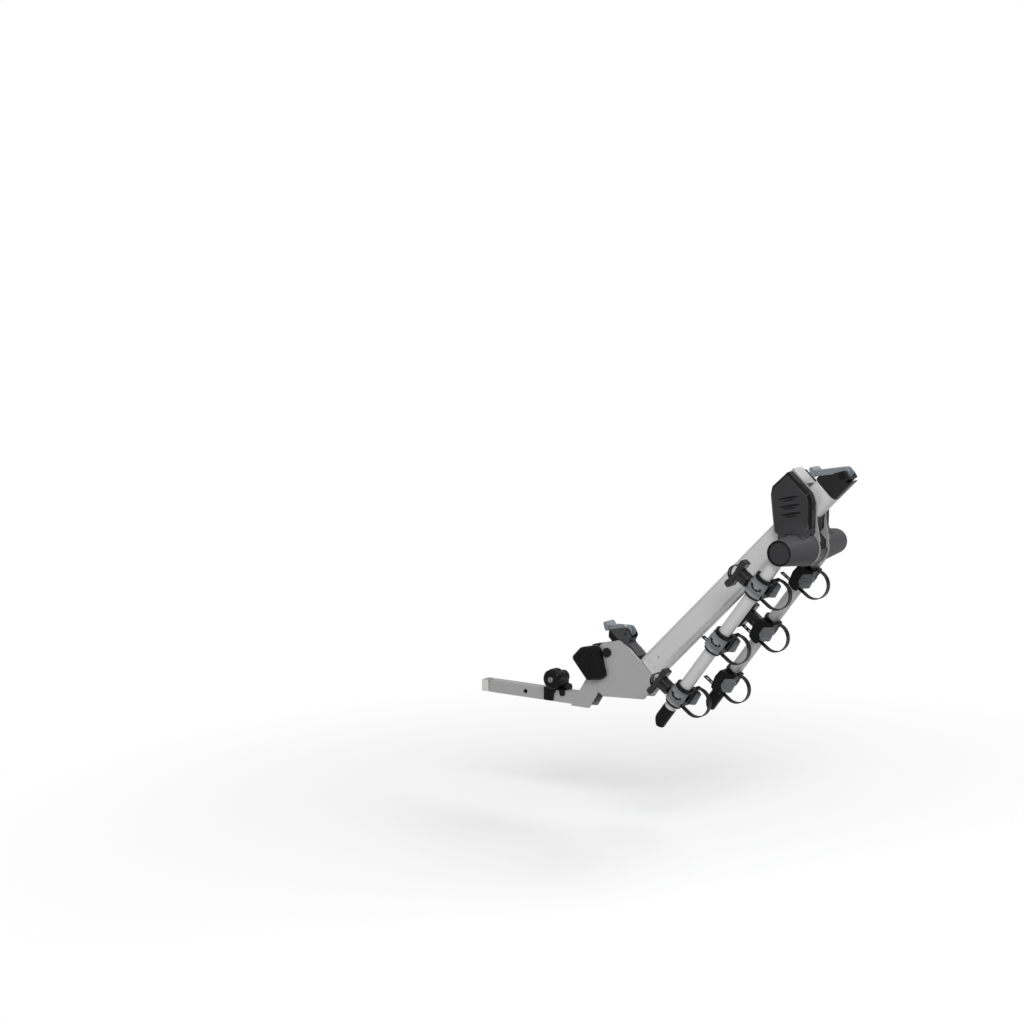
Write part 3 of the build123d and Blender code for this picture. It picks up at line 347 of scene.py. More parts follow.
def wear(piece, material):
    """Give the piece this material alone."""
    piece.data.materials.clear()
    piece.data.materials.append(material)


def wear_partly(piece, material, test):
    """Give this material to the faces that pass the test, and leave the others as they are."""
    piece.data.materials.append(material)
    for face in piece.data.polygons:
        face.material_index = int(test(face))


def stand_for(piece, node):
    """The piece rides on its node's body and is shown in its place."""
    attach(piece, NODE_BODY[node])
    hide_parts(node)


def show_as(piece, node):
    """Let the piece stand for its node in the finish of the node's slot."""
    wear(piece, FINISHES[NODE_SLOT[node]])
    stand_for(piece, node)


def dress(node, edge, segments=2, angle=32.0):
    """Softened copy of one CAD node in its slot's finish."""
    piece = cad_copy(node, node + "_body")
    soften(piece, edge, segments, angle)
    show_as(piece, node)
    return piece


# Materials


def feed(tree, socket, given):
    """Link another node's output to a socket, or set the socket to a plain value."""
    if isinstance(given, bpy.types.NodeSocket):
        tree.links.new(given, socket)
    else:
        socket.default_value = given


def maths(tree, operation, first, second, clamp=False):
    """Output of arithmetic on two sockets or numbers."""
    node = tree.nodes.new("ShaderNodeMath")
    node.operation = operation
    node.use_clamp = clamp
    feed(tree, node.inputs[0], first)
    feed(tree, node.inputs[1], second)
    return node.outputs[0]


def noise(tree, where, scale, detail=2.0):
    """Output of a noise pattern over these coordinates."""
    node = tree.nodes.new("ShaderNodeTexNoise")
    feed(tree, node.inputs["Vector"], where)
    feed(tree, node.inputs["Scale"], scale)
    feed(tree, node.inputs["Detail"], detail)
    return node.outputs["Fac"]


def bump(tree, height, strength, distance):
    """Bump node of this height, strength and depth."""
    node = tree.nodes.new("ShaderNodeBump")
    feed(tree, node.inputs["Height"], height)
    feed(tree, node.inputs["Strength"], strength)
    feed(tree, node.inputs["Distance"], distance)
    return node


def ramp(tree, value, low, high, curve="LINEAR"):
    """Output that climbs from 0 at low to 1 at high."""
    node = tree.nodes.new("ShaderNodeMapRange")
    node.interpolation_type = curve
    feed(tree, node.inputs["From Min"], low)
    feed(tree, node.inputs["From Max"], high)
    feed(tree, node.inputs["Value"], value)
    return node.outputs[0]


def blend_colours(tree, share, first, second):
    """Output between two colours."""
    node = tree.nodes.new("ShaderNodeMix")
    node.data_type = "RGBA"
    feed(tree, node.inputs["Factor"], share)
    feed(tree, node.inputs["A"], first)
    feed(tree, node.inputs["B"], second)
    return node.outputs["Result"]


def upward(tree, direction):
    """Output of a direction's height above level."""
    node = tree.nodes.new("ShaderNodeSeparateXYZ")
    feed(tree, node.inputs[0], direction)
    return node.outputs["Z"]


def new_group(name, inputs, outputs):
    """Empty node group with named sockets."""
    group = bpy.data.node_groups.new(name, "ShaderNodeTree")
    for label, kind, value in inputs:
        made = group.interface.new_socket(name=label, in_out="INPUT", socket_type=kind)
        made.default_value = value
    for label, kind in outputs:
        group.interface.new_socket(name=label, in_out="OUTPUT", socket_type=kind)
    given = group.nodes.new("NodeGroupInput").outputs
    out = group.nodes.new("NodeGroupOutput").inputs
    return group, given, out


def grain_group():
    """Moulded or sprayed surface: fine bumps on top of slow waves."""
    group, given, out = new_group(
        "surface_grain",
        [("Scale", "NodeSocketFloat", 900.0), ("Strength", "NodeSocketFloat", 0.1),
         ("Wave", "NodeSocketFloat", 0.05)],
        [("Normal", "NodeSocketVector")],
    )
    where = group.nodes.new("ShaderNodeTexCoord").outputs["Object"]
    waves = bump(group, noise(group, where, scale=28.0), given["Wave"], distance=0.002)
    grain = bump(group, noise(group, where, given["Scale"]), given["Strength"], distance=0.0004)
    group.links.new(waves.outputs["Normal"], grain.inputs["Normal"])
    group.links.new(grain.outputs["Normal"], out["Normal"])


def tone_group():
    """Slow change of colour and roughness, with a little dust on what faces up."""
    group, given, out = new_group(
        "surface_tone",
        [("Colour", "NodeSocketColor", (0.5, 0.5, 0.5, 1)), ("Roughness", "NodeSocketFloat", 0.4),
         ("Change", "NodeSocketFloat", 0.06), ("Dust", "NodeSocketFloat", 0.05)],
        [("Colour", "NodeSocketColor"), ("Roughness", "NodeSocketFloat")],
    )
    dust_colour = (0.42, 0.40, 0.37, 1)
    where = group.nodes.new("ShaderNodeTexCoord").outputs
    patches = maths(group, "SUBTRACT", noise(group, where["Object"], scale=11.0, detail=5.0), 0.5)
    amount = maths(group, "MULTIPLY", patches, given["Change"])
    tint = group.nodes.new("ShaderNodeVectorMath")
    tint.operation = "SCALE"
    feed(group, tint.inputs[0], given["Colour"])
    feed(group, tint.inputs["Scale"], maths(group, "ADD", amount, 1.0))
    tops = ramp(group, upward(group, where["Normal"]), low=0.35, high=1.0)
    specks = maths(group, "MULTIPLY", tops, noise(group, where["Object"], scale=160.0, detail=3.0))
    dust = maths(group, "MULTIPLY", specks, given["Dust"])
    group.links.new(blend_colours(group, dust, tint.outputs[0], dust_colour), out["Colour"])
    rough = maths(group, "ADD", given["Roughness"], amount, clamp=True)
    group.links.new(maths(group, "ADD", rough, dust, clamp=True), out["Roughness"])


def finish(name, colour, roughness, metallic=0.0, grain=900.0, bumps=0.1, wave=0.03, change=0.08,
           dust=0.05, coat=0.0, gloss=0.5):
    """Material with grain, slow tone change and dust; fixed values sit on the shader."""
    material = bpy.data.materials.new(name)
    material.use_nodes = True
    nodes, links = material.node_tree.nodes, material.node_tree.links
    shader = nodes["Principled BSDF"]
    shader.inputs["Metallic"].default_value = metallic
    shader.inputs["Specular IOR Level"].default_value = gloss
    if coat:
        shader.inputs["Coat Weight"].default_value = coat
        shader.inputs["Coat Roughness"].default_value = 0.12
    tone = nodes.new("ShaderNodeGroup")
    tone.node_tree = bpy.data.node_groups["surface_tone"]
    tone.inputs["Colour"].default_value = (*colour, 1)
    tone.inputs["Roughness"].default_value = roughness
    tone.inputs["Change"].default_value = change
    tone.inputs["Dust"].default_value = dust
    links.new(tone.outputs["Colour"], shader.inputs["Base Color"])
    links.new(tone.outputs["Roughness"], shader.inputs["Roughness"])
    surface = nodes.new("ShaderNodeGroup")
    surface.node_tree = bpy.data.node_groups["surface_grain"]
    surface.inputs["Scale"].default_value = grain
    surface.inputs["Strength"].default_value = bumps
    surface.inputs["Wave"].default_value = wave
    links.new(surface.outputs["Normal"], shader.inputs["Normal"])
    return material


def build_finishes(colours):
    """One material for each of the rack's finishes."""
    satin = dict(metallic=0.25, grain=1500, bumps=0.10, wave=0.02, change=0.04, dust=0.03, coat=0.1)
    cover = dict(grain=1300, bumps=0.30, wave=0.02, change=0.10, dust=0.03)
    hard = dict(grain=1200, bumps=0.25, wave=0.03, change=0.10, dust=0.01)
    cradle = dict(grain=1100, bumps=0.25, wave=0.03, change=0.10, dust=0.01)
    fine = dict(wave=0.02, change=0.08, dust=0.01)
    steel = dict(metallic=1.0, grain=700, bumps=0.12, wave=0.03, change=0.15, dust=0.03)
    black = colours.black
    return {
        # Painted shade: the steel parts wear the tube's satin paint made darker
        "silver_coated_steel": finish("shaded_silver_plate_paint", colours.shaded_silver_plate, 0.42, **satin),
        "silver_coated_tube": finish("silver_tube_paint", colours.silver_tube, 0.38, **satin),
        "dark_cover_plastic": finish("charcoal_plastic", colours.charcoal, 0.34, gloss=0.16, **cover),
        # Painted light: the covers' charcoal plastic made lighter for the hub shells
        "shell_plastic": finish("lit_charcoal_shell", colours.shell, 0.42, gloss=0.05, **cover),
        "cap_plastic": finish("cap_black", colours.cap, 0.30, gloss=0.16, **hard),
        "black_plastic": finish("black_plastic", black, 0.30, gloss=0.10, **hard),
        "soft_black_plastic": finish("cradle_black", black, 0.32, gloss=0.12, **cradle),
        # Gloss black; on the side covers' rims it is painted dark reflection
        "gloss_rim": finish("gloss_black_rim", black, 0.20, grain=1300, bumps=0.12, gloss=0.10, **fine),
        "strap_plastic": finish("strap_black", black, 0.26, grain=1100, bumps=0.15, gloss=0.16, **fine),
        "cage_plastic": finish("cage_black", black, 0.24, grain=1100, bumps=0.15, wave=0.02, change=0.10,
                               dust=0.01, gloss=0.40),
        "black_bolt": finish("black_bolt", black, 0.34, grain=900, bumps=0.12, gloss=0.16, **fine),
        "grey_plastic": finish("grey_plastic", colours.grey_plastic, 0.40, grain=1200, bumps=0.20, wave=0.02,
                               change=0.08, dust=0.03),
        "lever_plastic": finish("lever_plastic", colours.lever, 0.30, grain=1200, bumps=0.12, wave=0.02,
                                change=0.05, dust=0.02, coat=0.2),
        "zinc_steel": finish("zinc_plate", colours.zinc, 0.34, **steel),
        "lock_steel": finish("lock_steel", colours.lock, 0.38, **steel),
    }


# Settings


def colour_setting(name, description, value):
    """Setting for one colour of the rack."""
    return bpy.props.FloatVectorProperty(name=name, description=description, subtype="COLOR", size=3, min=0,
                                         max=1, default=value)


def length_setting(name, description, value):
    """Setting for one small length of the rack."""
    return bpy.props.FloatProperty(name=name, description=description, subtype="DISTANCE", unit="LENGTH",
                                   precision=5, min=0.1 * MM, default=value)


class RackColours(bpy.types.PropertyGroup):
    """Colours of the rack's finishes."""

    # Painted shade: the plates' silver is the tube's satin paint made darker, for the shade near the car
    shaded_silver_plate: colour_setting("Silver plate", "Satin coat on the stinger, the riser and the plates",
                                 (0.40, 0.40, 0.405))
    silver_tube: colour_setting("Silver tube", "Satin coat on the mast and the arms", (0.60, 0.60, 0.605))
    charcoal: colour_setting("Charcoal", "Side covers", (0.033, 0.033, 0.035))
    # Painted light: the shells' charcoal is the covers' plastic made lighter, for the light on them
    shell: colour_setting("Shell", "Hub shells and the lower latch housing", (0.072, 0.072, 0.075))
    cap: colour_setting("Cap", "Cap on the mast's end", (0.013, 0.013, 0.014))
    black: colour_setting("Black", "Base covers, knob, cradles and straps", (0.006, 0.006, 0.0065))
    grey_plastic: colour_setting("Grey plastic", "Collars and release tabs", (0.19, 0.195, 0.205))
    lever: colour_setting("Lever", "Release levers", (0.185, 0.21, 0.235))
    zinc: colour_setting("Zinc", "Plated steel inside the rack", (0.58, 0.58, 0.57))
    lock: colour_setting("Lock", "Barrel of the knob's lock", (0.20, 0.20, 0.205))


class RackDetails(bpy.types.PropertyGroup):
    """Sizes and counts of the rack's moulded details."""

    lever_cell: length_setting("Lever cell", "How fine the levers' moulded skin is", 0.8 * MM)
    cover_cell: length_setting("Cover cell", "How fine the side covers' moulded skin is", 0.95 * MM)
    strap_recess: length_setting("Strap recess", "How deep the cells of the straps are", 0.85 * MM)
    cover_grooves: bpy.props.IntProperty(
        name="Cover grooves", description="Pairs of pointed grooves in each side cover", default=3, min=0)
    cage_teeth: bpy.props.IntProperty(
        name="Cage teeth", description="Gaps between the teeth on each corner of a cage", default=7, min=1)


class RackStage(bpy.types.PropertyGroup):
    """Camera, floor and lights."""

    camera_place: bpy.props.FloatVectorProperty(
        name="Camera place", description="Where the camera stands", subtype="TRANSLATION", unit="LENGTH",
        default=(-4.13699, -2.83450, 1.03330))
    camera_heading: bpy.props.FloatProperty(
        name="Heading", description="Camera direction from +X towards +Y", subtype="ANGLE", unit="ROTATION",
        default=math.radians(34.947))
    camera_dip: bpy.props.FloatProperty(
        name="Dip", description="How far the camera looks down", subtype="ANGLE", unit="ROTATION",
        default=math.radians(6.332))
    camera_roll: bpy.props.FloatProperty(
        name="Roll", description="Turn about the line of sight", subtype="ANGLE", unit="ROTATION",
        default=math.radians(0.249))
    lens: bpy.props.FloatProperty(
        name="Lens", description="Focal length in millimetres", default=67.32, min=10)
    floor_drop: bpy.props.FloatProperty(
        name="Floor", description="How far the floor lies under the hitch pin", unit="LENGTH", default=0.31)
    key_power: bpy.props.FloatProperty(
        name="Key", description="Lamp on the camera's side", subtype="POWER", unit="POWER", default=100.0)
    fill_power: bpy.props.FloatProperty(
        name="Fill", description="Wide lamp ahead of the rack", subtype="POWER", unit="POWER", default=14.0)
    rim_power: bpy.props.FloatProperty(
        name="Rim", description="Lamp on the far side", subtype="POWER", unit="POWER", default=36.0)
    sky_strength: bpy.props.FloatProperty(
        name="Sky", description="Strength of the light from all round", default=0.58, min=0)


# Stage


class RACK_OT_stage(bpy.types.Operator):
    """Add the floor, the lights, the world and the camera"""

    bl_idname = "rack.stage"
    bl_label = "Stage"

    def execute(self, context):
        settings = context.scene.rack_stage
        scene = context.scene
        scene.view_settings.view_transform = "Standard"
        self.add_camera(scene, settings)
        self.add_floor(settings)
        self.add_world(scene, settings)
        self.add_lamp(scene, "key", (-2.6, -2.6, 2.6), 1.6, settings.key_power)
        self.add_lamp(scene, "fill", (-3.0, 1.6, 1.8), 2.2, settings.fill_power)
        self.add_lamp(scene, "rim", (1.8, -1.9, 2.6), 1.6, settings.rim_power)
        return {"FINISHED"}

    def add_camera(self, scene, settings):
        """Camera turned to its heading, dipped, and rolled about its line of sight."""
        heading, dip, roll = settings.camera_heading, settings.camera_dip, settings.camera_roll
        level = math.cos(dip)
        forward = Vector((math.cos(heading) * level, math.sin(heading) * level, -math.sin(dip)))
        right = Vector((math.sin(heading), -math.cos(heading), 0))
        up = right.cross(forward)
        rolled_right = right * math.cos(roll) + up * math.sin(roll)
        rolled_up = up * math.cos(roll) - right * math.sin(roll)
        data = bpy.data.cameras.new("view_camera")
        data.sensor_width = 36
        data.lens = settings.lens
        camera = bpy.data.objects.new("view_camera", data)
        turn = Matrix((rolled_right, rolled_up, -forward)).transposed().to_4x4()
        camera.matrix_world = Matrix.Translation(settings.camera_place) @ turn
        scene.collection.objects.link(camera)
        scene.camera = camera

    def add_floor(self, settings):
        """Wide floor under the rack's middle."""
        width = 60
        rack_middle = -0.6
        bpy.ops.mesh.primitive_plane_add(size=width, location=(0, rack_middle, -settings.floor_drop))
        floor = bpy.context.object
        floor.name = "floor"
        wear(floor, self.floor_material())

    def floor_material(self):
        """Pale floor, seen as plain white away from the rack and darker by the light it throws back."""
        thrown_back, pale = (0.18, 0.18, 0.182, 1), (0.93, 0.93, 0.935, 1)
        shadow_reach, white_reach = 0.4, 2.1
        material = bpy.data.materials.new("pale_floor")
        material.use_nodes = True
        tree = material.node_tree
        shader = tree.nodes["Principled BSDF"]
        shader.inputs["Roughness"].default_value = 0.6
        path = tree.nodes.new("ShaderNodeLightPath").outputs
        mirrored = maths(tree, "MAXIMUM", path["Is Camera Ray"], path["Is Glossy Ray"])
        seen = maths(tree, "MAXIMUM", mirrored, path["Is Transmission Ray"])
        feed(tree, shader.inputs["Base Color"], blend_colours(tree, seen, thrown_back, pale))
        away = tree.nodes.new("ShaderNodeVectorMath")
        away.operation = "LENGTH"
        feed(tree, away.inputs[0], tree.nodes.new("ShaderNodeTexCoord").outputs["Object"])
        fade = ramp(tree, away.outputs["Value"], shadow_reach, white_reach, "SMOOTHSTEP")
        white = tree.nodes.new("ShaderNodeEmission")
        mix = tree.nodes.new("ShaderNodeMixShader")
        feed(tree, mix.inputs["Fac"], maths(tree, "MULTIPLY", fade, seen))
        feed(tree, mix.inputs[1], shader.outputs[0])
        feed(tree, mix.inputs[2], white.outputs[0])
        feed(tree, tree.nodes["Material Output"].inputs["Surface"], mix.outputs[0])
        return material

    def add_world(self, scene, settings):
        """White to the camera, and a soft grey sky that is brighter above as a light."""
        world = bpy.data.worlds.new("studio")
        scene.world = world
        world.use_nodes = True
        tree = world.node_tree
        seen = tree.nodes["Background"]
        seen.inputs["Color"].default_value = (1, 1, 1, 1)
        seen.inputs["Strength"].default_value = 1.0
        height = upward(tree, tree.nodes.new("ShaderNodeTexCoord").outputs["Generated"])
        sky = tree.nodes.new("ShaderNodeValToRGB")
        horizon, overhead = sky.color_ramp.elements
        horizon.position = 0.48
        horizon.color = (0.55, 0.55, 0.56, 1)
        overhead.position = 0.85
        overhead.color = (1.0, 1.0, 1.0, 1)
        feed(tree, sky.inputs["Fac"], ramp(tree, height, low=-1.0, high=1.0))
        light = tree.nodes.new("ShaderNodeBackground")
        light.inputs["Strength"].default_value = settings.sky_strength
        feed(tree, light.inputs["Color"], sky.outputs["Color"])
        mix = tree.nodes.new("ShaderNodeMixShader")
        feed(tree, mix.inputs["Fac"], tree.nodes.new("ShaderNodeLightPath").outputs["Is Camera Ray"])
        feed(tree, mix.inputs[1], light.outputs[0])
        feed(tree, mix.inputs[2], seen.outputs[0])
        feed(tree, tree.nodes["World Output"].inputs["Surface"], mix.outputs[0])

    def add_lamp(self, scene, name, stand, size, power):
        """Square lamp that faces the rack's middle."""
        rack_middle = Vector((0, -0.5, 0.25))
        data = bpy.data.lights.new(name, "AREA")
        data.size = size
        data.energy = power
        lamp = bpy.data.objects.new(name, data)
        lamp.location = stand
        lamp.rotation_euler = (rack_middle - Vector(stand)).to_track_quat("-Z", "Y").to_euler()
        scene.collection.objects.link(lamp)


# Pieces


class RACK_OT_finishes(bpy.types.Operator):
    """Make the finishes and give each carried node the one of its slot"""

    bl_idname = "rack.finishes"
    bl_label = "Finishes"

    def execute(self, context):
        grain_group()
        tone_group()
        FINISHES.update(build_finishes(context.scene.rack_colours))
        for node, piece in NODES.items():
            wear(piece, FINISHES[NODE_SLOT[node]])
        return {"FINISHED"}


class RACK_OT_base(bpy.types.Operator):
    """Finish the stinger, the riser, its covers and the clamp knob"""

    bl_idname = "rack.base"
    bl_label = "Base"

    def execute(self, context):
        dress("base_frame", 0.7)
        for side, _sign in SIDES:
            dress(side + "_base_cover", 0.7, segments=3, angle=20)
        dress("base_cover_screws", 0.25)
        dress("tilt_bolt", 0.3)
        dress("knob_saddle", 0.9, segments=3)
        dress("clamp_knob", 0.6, segments=3)
        wear(dress("lock_barrel", 0.2), FINISHES["lock_steel"])
        dress("stinger_wedge", 0.4)
        return {"FINISHED"}


class RACK_OT_mast(bpy.types.Operator):
    """Build the mast tube and finish the plates and pins on it"""

    bl_idname = "rack.mast"
    bl_label = "Mast"

    def execute(self, context):
        self.build_tube()
        for side, _sign in SIDES:
            dress(side + "_foot_plate", 0.5)
        dress("foot_plate_pins", 0.4)
        dress("tilt_stop", 0.4)
        dress("mast_pad", 0.6)
        dress("lever_pins", 0.3)
        return {"FINISHED"}

    def build_tube(self):
        """Open tube with wide rounded corners and the hole for the fold shaft."""
        corner, wall = 16.0, 2.5
        hole_radius, hole_half_length = 10.1, 40.0
        long_edge = 0.1
        tube = block("mast_body", (MAST_WIDTH, MAST_DEPTH, MAST_END - MAST_START))

        def runs_along(edge):
            first, last = (tube.data.vertices[end].co for end in edge.vertices)
            return abs(first.z - last.z) > long_edge

        edit_some(tube, "EDGE", runs_along)
        bpy.ops.mesh.bevel(offset=corner * MM, segments=12, affect="EDGES")
        object_mode()
        edit_some(tube, "FACE", lambda face: abs(face.normal.z) > FACING)
        bpy.ops.mesh.delete(type="FACE")
        object_mode()
        shell = tube.modifiers.new("wall", "SOLIDIFY")
        shell.thickness = wall * MM
        shell.offset = -1.0
        apply_all(tube)
        place(tube, mast_point((MAST_START + MAST_END) / 2, -MAST_DROP), *ON_MAST)
        hole = turned("fold_hole", [(-hole_half_length, hole_radius), (hole_half_length, hole_radius)], 48)
        place(hole, FOLD, MAST_ALONG, MAST_ACROSS, ACROSS_X)
        cut(tube, hole)
        soften(tube, 0.5, angle=40)
        show_as(tube, "mast_tube")


class RACK_OT_latches(bpy.types.Operator):
    """Build the latch housing, the cap on the mast's end and the two release levers"""

    bl_idname = "rack.latches"
    bl_label = "Latches and levers"

    def execute(self, context):
        self.build_housing()
        self.build_cap()
        cell = context.scene.rack_details.lever_cell / MM
        for node in ("foot_lever", "top_lever"):
            lever = cad_copy(node, node + "_body")
            moulded(lever, cell, passes=12, regrow=0.2)
            show_as(lever, node)
        return {"FINISHED"}

    def build_housing(self):
        """Latch housing, black where it holds the lever, and where it runs down the mast in the shells' charcoal,
        which is painted lighter as painted light.
        """
        black_from = -24.0
        housing = dress("foot_latch_housing", 1.0, segments=3)
        # Painted light: the part down the mast takes the lighter shell charcoal
        wear_partly(housing, FINISHES["shell_plastic"],
                    lambda face: (face.center - PIVOT).dot(MAST_ACROSS) < black_from * MM)

    def build_cap(self):
        """Cap whose front edge follows the lever's underside, with a ring round the lever's pin."""
        boss = mast_point(800.0, -111.0)
        lever_lean, lever_clearance = math.radians(145.0), 7.4
        rest_width, rest_depth, rest_length = 38.0, 21.5, 37.7
        rest_across, cap_gap = -80.25, 0.3
        ring_outline = [(20.9, 8.6), (22.6, 8.6), (23.1, 8.1), (23.1, 5.9), (22.2, 5.2), (22.2, 0.6)]
        cap = cad_copy("top_cap", "top_cap_body")
        rest = block("lever_rest", (rest_width, rest_depth, rest_length), bevel=3.0)
        place(rest, mast_point(MAST_END + cap_gap + rest_length / 2, rest_across), *ON_MAST)
        lever_up = MAST_ALONG * math.sin(lever_lean) - MAST_ACROSS * math.cos(lever_lean)
        trim(rest, boss + lever_up * lever_clearance * MM, lever_up)
        unite(cap, rest)
        soften(cap, 1.0, segments=3)
        wear(cap, FINISHES["cap_plastic"])
        for _side, sign in SIDES:
            ring = turned("pin_ring", ring_outline)
            place(ring, boss, MAST_ALONG, MAST_ACROSS, ACROSS_X * sign)
            smooth_shade(ring, 40)
            wear(ring, FINISHES["gloss_rim"])
            join(cap, ring)
        stand_for(cap, "top_cap")


class RACK_OT_side_covers(bpy.types.Operator):
    """Build the moulded side covers with their pointed grooves"""

    bl_idname = "rack.side_covers"
    bl_label = "Side covers"

    FACE = 54.0

    def execute(self, context):
        details = context.scene.rack_details
        for side, sign in SIDES:
            cover = self.build_body(side, sign, details.cover_cell / MM)
            self.melt_saddle(cover)
            self.cut_grooves(cover, sign, details.cover_grooves)
            self.finish_cover(cover)
            stand_for(cover, side + "_side_cover")
        return {"FINISHED"}

    def build_body(self, side, sign, cell):
        """Moulded cover, a little inside its plate's edge, with a flat bed for the grooves."""
        shrink = (1, 0.972, 0.984)
        bed_depth, bed_width, bed_height = 2.2, 66.0, 54.0
        cover = cad_copy(side + "_side_cover", side + "_cover_body")
        edit_all(cover)
        bpy.ops.transform.resize(value=shrink, center_override=hub_point(-24.0, 40.0))
        object_mode()
        bed = block("groove_bed", (bed_depth, bed_width, bed_height))
        place(bed, hub_point(-25.5, 102.0, (self.FACE - bed_depth / 2) * sign), *UPRIGHT)
        join(cover, bed)
        moulded(cover, cell, passes=5)
        return cover

    def melt_saddle(self, cover):
        """Smooth the outer part of the cover more and more towards the hub."""
        melt_below, melt_fade, melt_outside = 74.0, 22.0, 33.0
        saddle = cover.vertex_groups.new(name="saddle")
        for vertex in cover.data.vertices:
            above = (vertex.co.z - HUB.z) / MM
            share = min(1.0, max(0.0, (melt_below - above) / melt_fade))
            if abs(vertex.co.x) > melt_outside * MM and share > 0:
                saddle.add([vertex.index], share, "REPLACE")
        melt = cover.modifiers.new("melt", "SMOOTH")
        melt.factor = 0.5
        melt.iterations = 40
        melt.vertex_group = "saddle"
        apply_all(cover)

    def cut_grooves(self, cover, sign, pairs):
        """Long and short pointed grooves, one pair above the other."""
        slope = math.radians(12.0)
        run = Vector((0, -math.cos(slope), math.sin(slope)))
        rise = Vector((0, math.sin(slope), math.cos(slope)))
        first_behind, first_above = -27.9, 120.7
        step_behind, step_above = 4.3, -18.7
        # Half length, half width, depth and drop of the long groove and of the short one under it
        grooves = ((28.5, 2.4, 2.6, 0.0), (19.0, 1.6, 1.7, 6.2))
        for pair in range(pairs):
            behind = first_behind + step_behind * pair
            above = first_above + step_above * pair
            for half_length, half_width, depth, drop in grooves:
                groove = lens("groove", half_length, half_width, depth)
                place(groove, hub_point(behind, above - drop, self.FACE * sign), ACROSS_X, rise, run)
                cut(cover, groove)

    def finish_cover(self, cover):
        """Charcoal face, with the rim down to the saddle painted gloss black as painted dark reflection on the
        same plastic.
        """
        rim_depth, rim_above_hub = 0.9, 50.0
        smooth_shade(cover, 42)
        wear(cover, FINISHES["dark_cover_plastic"])

        def on_painted_dark_rim(face):
            behind_face = abs(face.center.x) < (self.FACE - rim_depth) * MM
            return behind_face and face.center.z > HUB.z + rim_above_hub * MM

        # Painted shade: the rim's black stands for the dark reflection that the charcoal plastic shows there
        wear_partly(cover, FINISHES["gloss_rim"], on_painted_dark_rim)


class RACK_OT_hub(bpy.types.Operator):
    """Finish the bracket, and build the hub's two shells and the dished caps on their ends"""

    bl_idname = "rack.hub"
    bl_label = "Bracket and hub"

    def execute(self, context):
        dress("hub_bracket", 0.5)
        dress("fold_shaft", 0.5)
        dress("hub_block", 0.7)
        dress("hub_guard", 0.5)
        for side, sign in SIDES:
            self.build_shell(side, sign)
        self.build_caps()
        return {"FINISHED"}

    def build_shell(self, side, sign):
        """Tapered shell open to the hub tube, with the arm's hole through it."""
        outline = [(26.0, 41.6), (26.6, 42.5), (28.0, 42.8), (148.8, 31.1), (150.0, 30.2), (150.0, 27.6),
                   (29.0, 39.6), (26.0, 39.6), (26.0, 41.6)]
        hole_radius, hole_length = 16.2, 80.0
        shell = turned(side + "_shell_body", outline, 120, hollow=True)
        place(shell, HUB, ARM_ALONG, ARM_ACROSS, ACROSS_X * sign)
        notch = turned("arm_notch", [(0, hole_radius), (hole_length, hole_radius)], 72)
        place(notch, arm_point(0, 0, ARM_SIDE * sign), *ON_ARM)
        cut(shell, notch)
        soften(shell, 0.4, angle=40)
        # The shells' charcoal is painted lighter, as painted light
        wear(shell, FINISHES["shell_plastic"])
        stand_for(shell, side + "_hub_shell")

    def build_caps(self):
        """Two caps with a round lip, and a dish that sinks slowly to its middle."""
        outline = [(147.6, 26.8), (150.2, 27.2), (150.2, 30.2), (152.6, 30.5), (153.5, 30.3), (154.0, 29.5),
                   (154.0, 28.6), (153.2, 27.7), (151.4, 27.2), (149.6, 26.2), (149.0, 22.0), (148.7, 14.0),
                   (148.5, 7.0), (148.4, 0.6)]
        lip_radius = 26.2
        right_cap = turned("hub_caps_body", outline)
        place(right_cap, HUB, ARM_ALONG, ARM_ACROSS, ACROSS_X)
        left_cap = turned("left_cap", outline)
        place(left_cap, HUB, ARM_ALONG, ARM_ACROSS, -ACROSS_X)
        caps = join(right_cap, left_cap)
        smooth_shade(caps, 50)
        show_as(caps, "hub_caps")

        def on_lip(face):
            from_axis = (face.center - HUB) * Vector((0, 1, 1))
            return from_axis.length > lip_radius * MM

        wear_partly(caps, FINISHES["gloss_rim"], on_lip)


class RACK_OT_arms(bpy.types.Operator):
    """Build the arm tubes and finish the caps on their ends"""

    bl_idname = "rack.arms"
    bl_label = "Arms"

    def execute(self, context):
        outline = [(ARM_START, ARM_RADIUS), (ARM_END, ARM_RADIUS), (ARM_END, ARM_BORE),
                   (ARM_START, ARM_BORE), (ARM_START, ARM_RADIUS)]
        for side, sign in SIDES:
            tube = turned(side + "_arm_body", outline, 72, hollow=True)
            place(tube, arm_point(0, 0, ARM_SIDE * sign), *ON_ARM)
            smooth_shade(tube)
            show_as(tube, side + "_arm")
        dress("arm_caps", 1.2, segments=3)
        return {"FINISHED"}


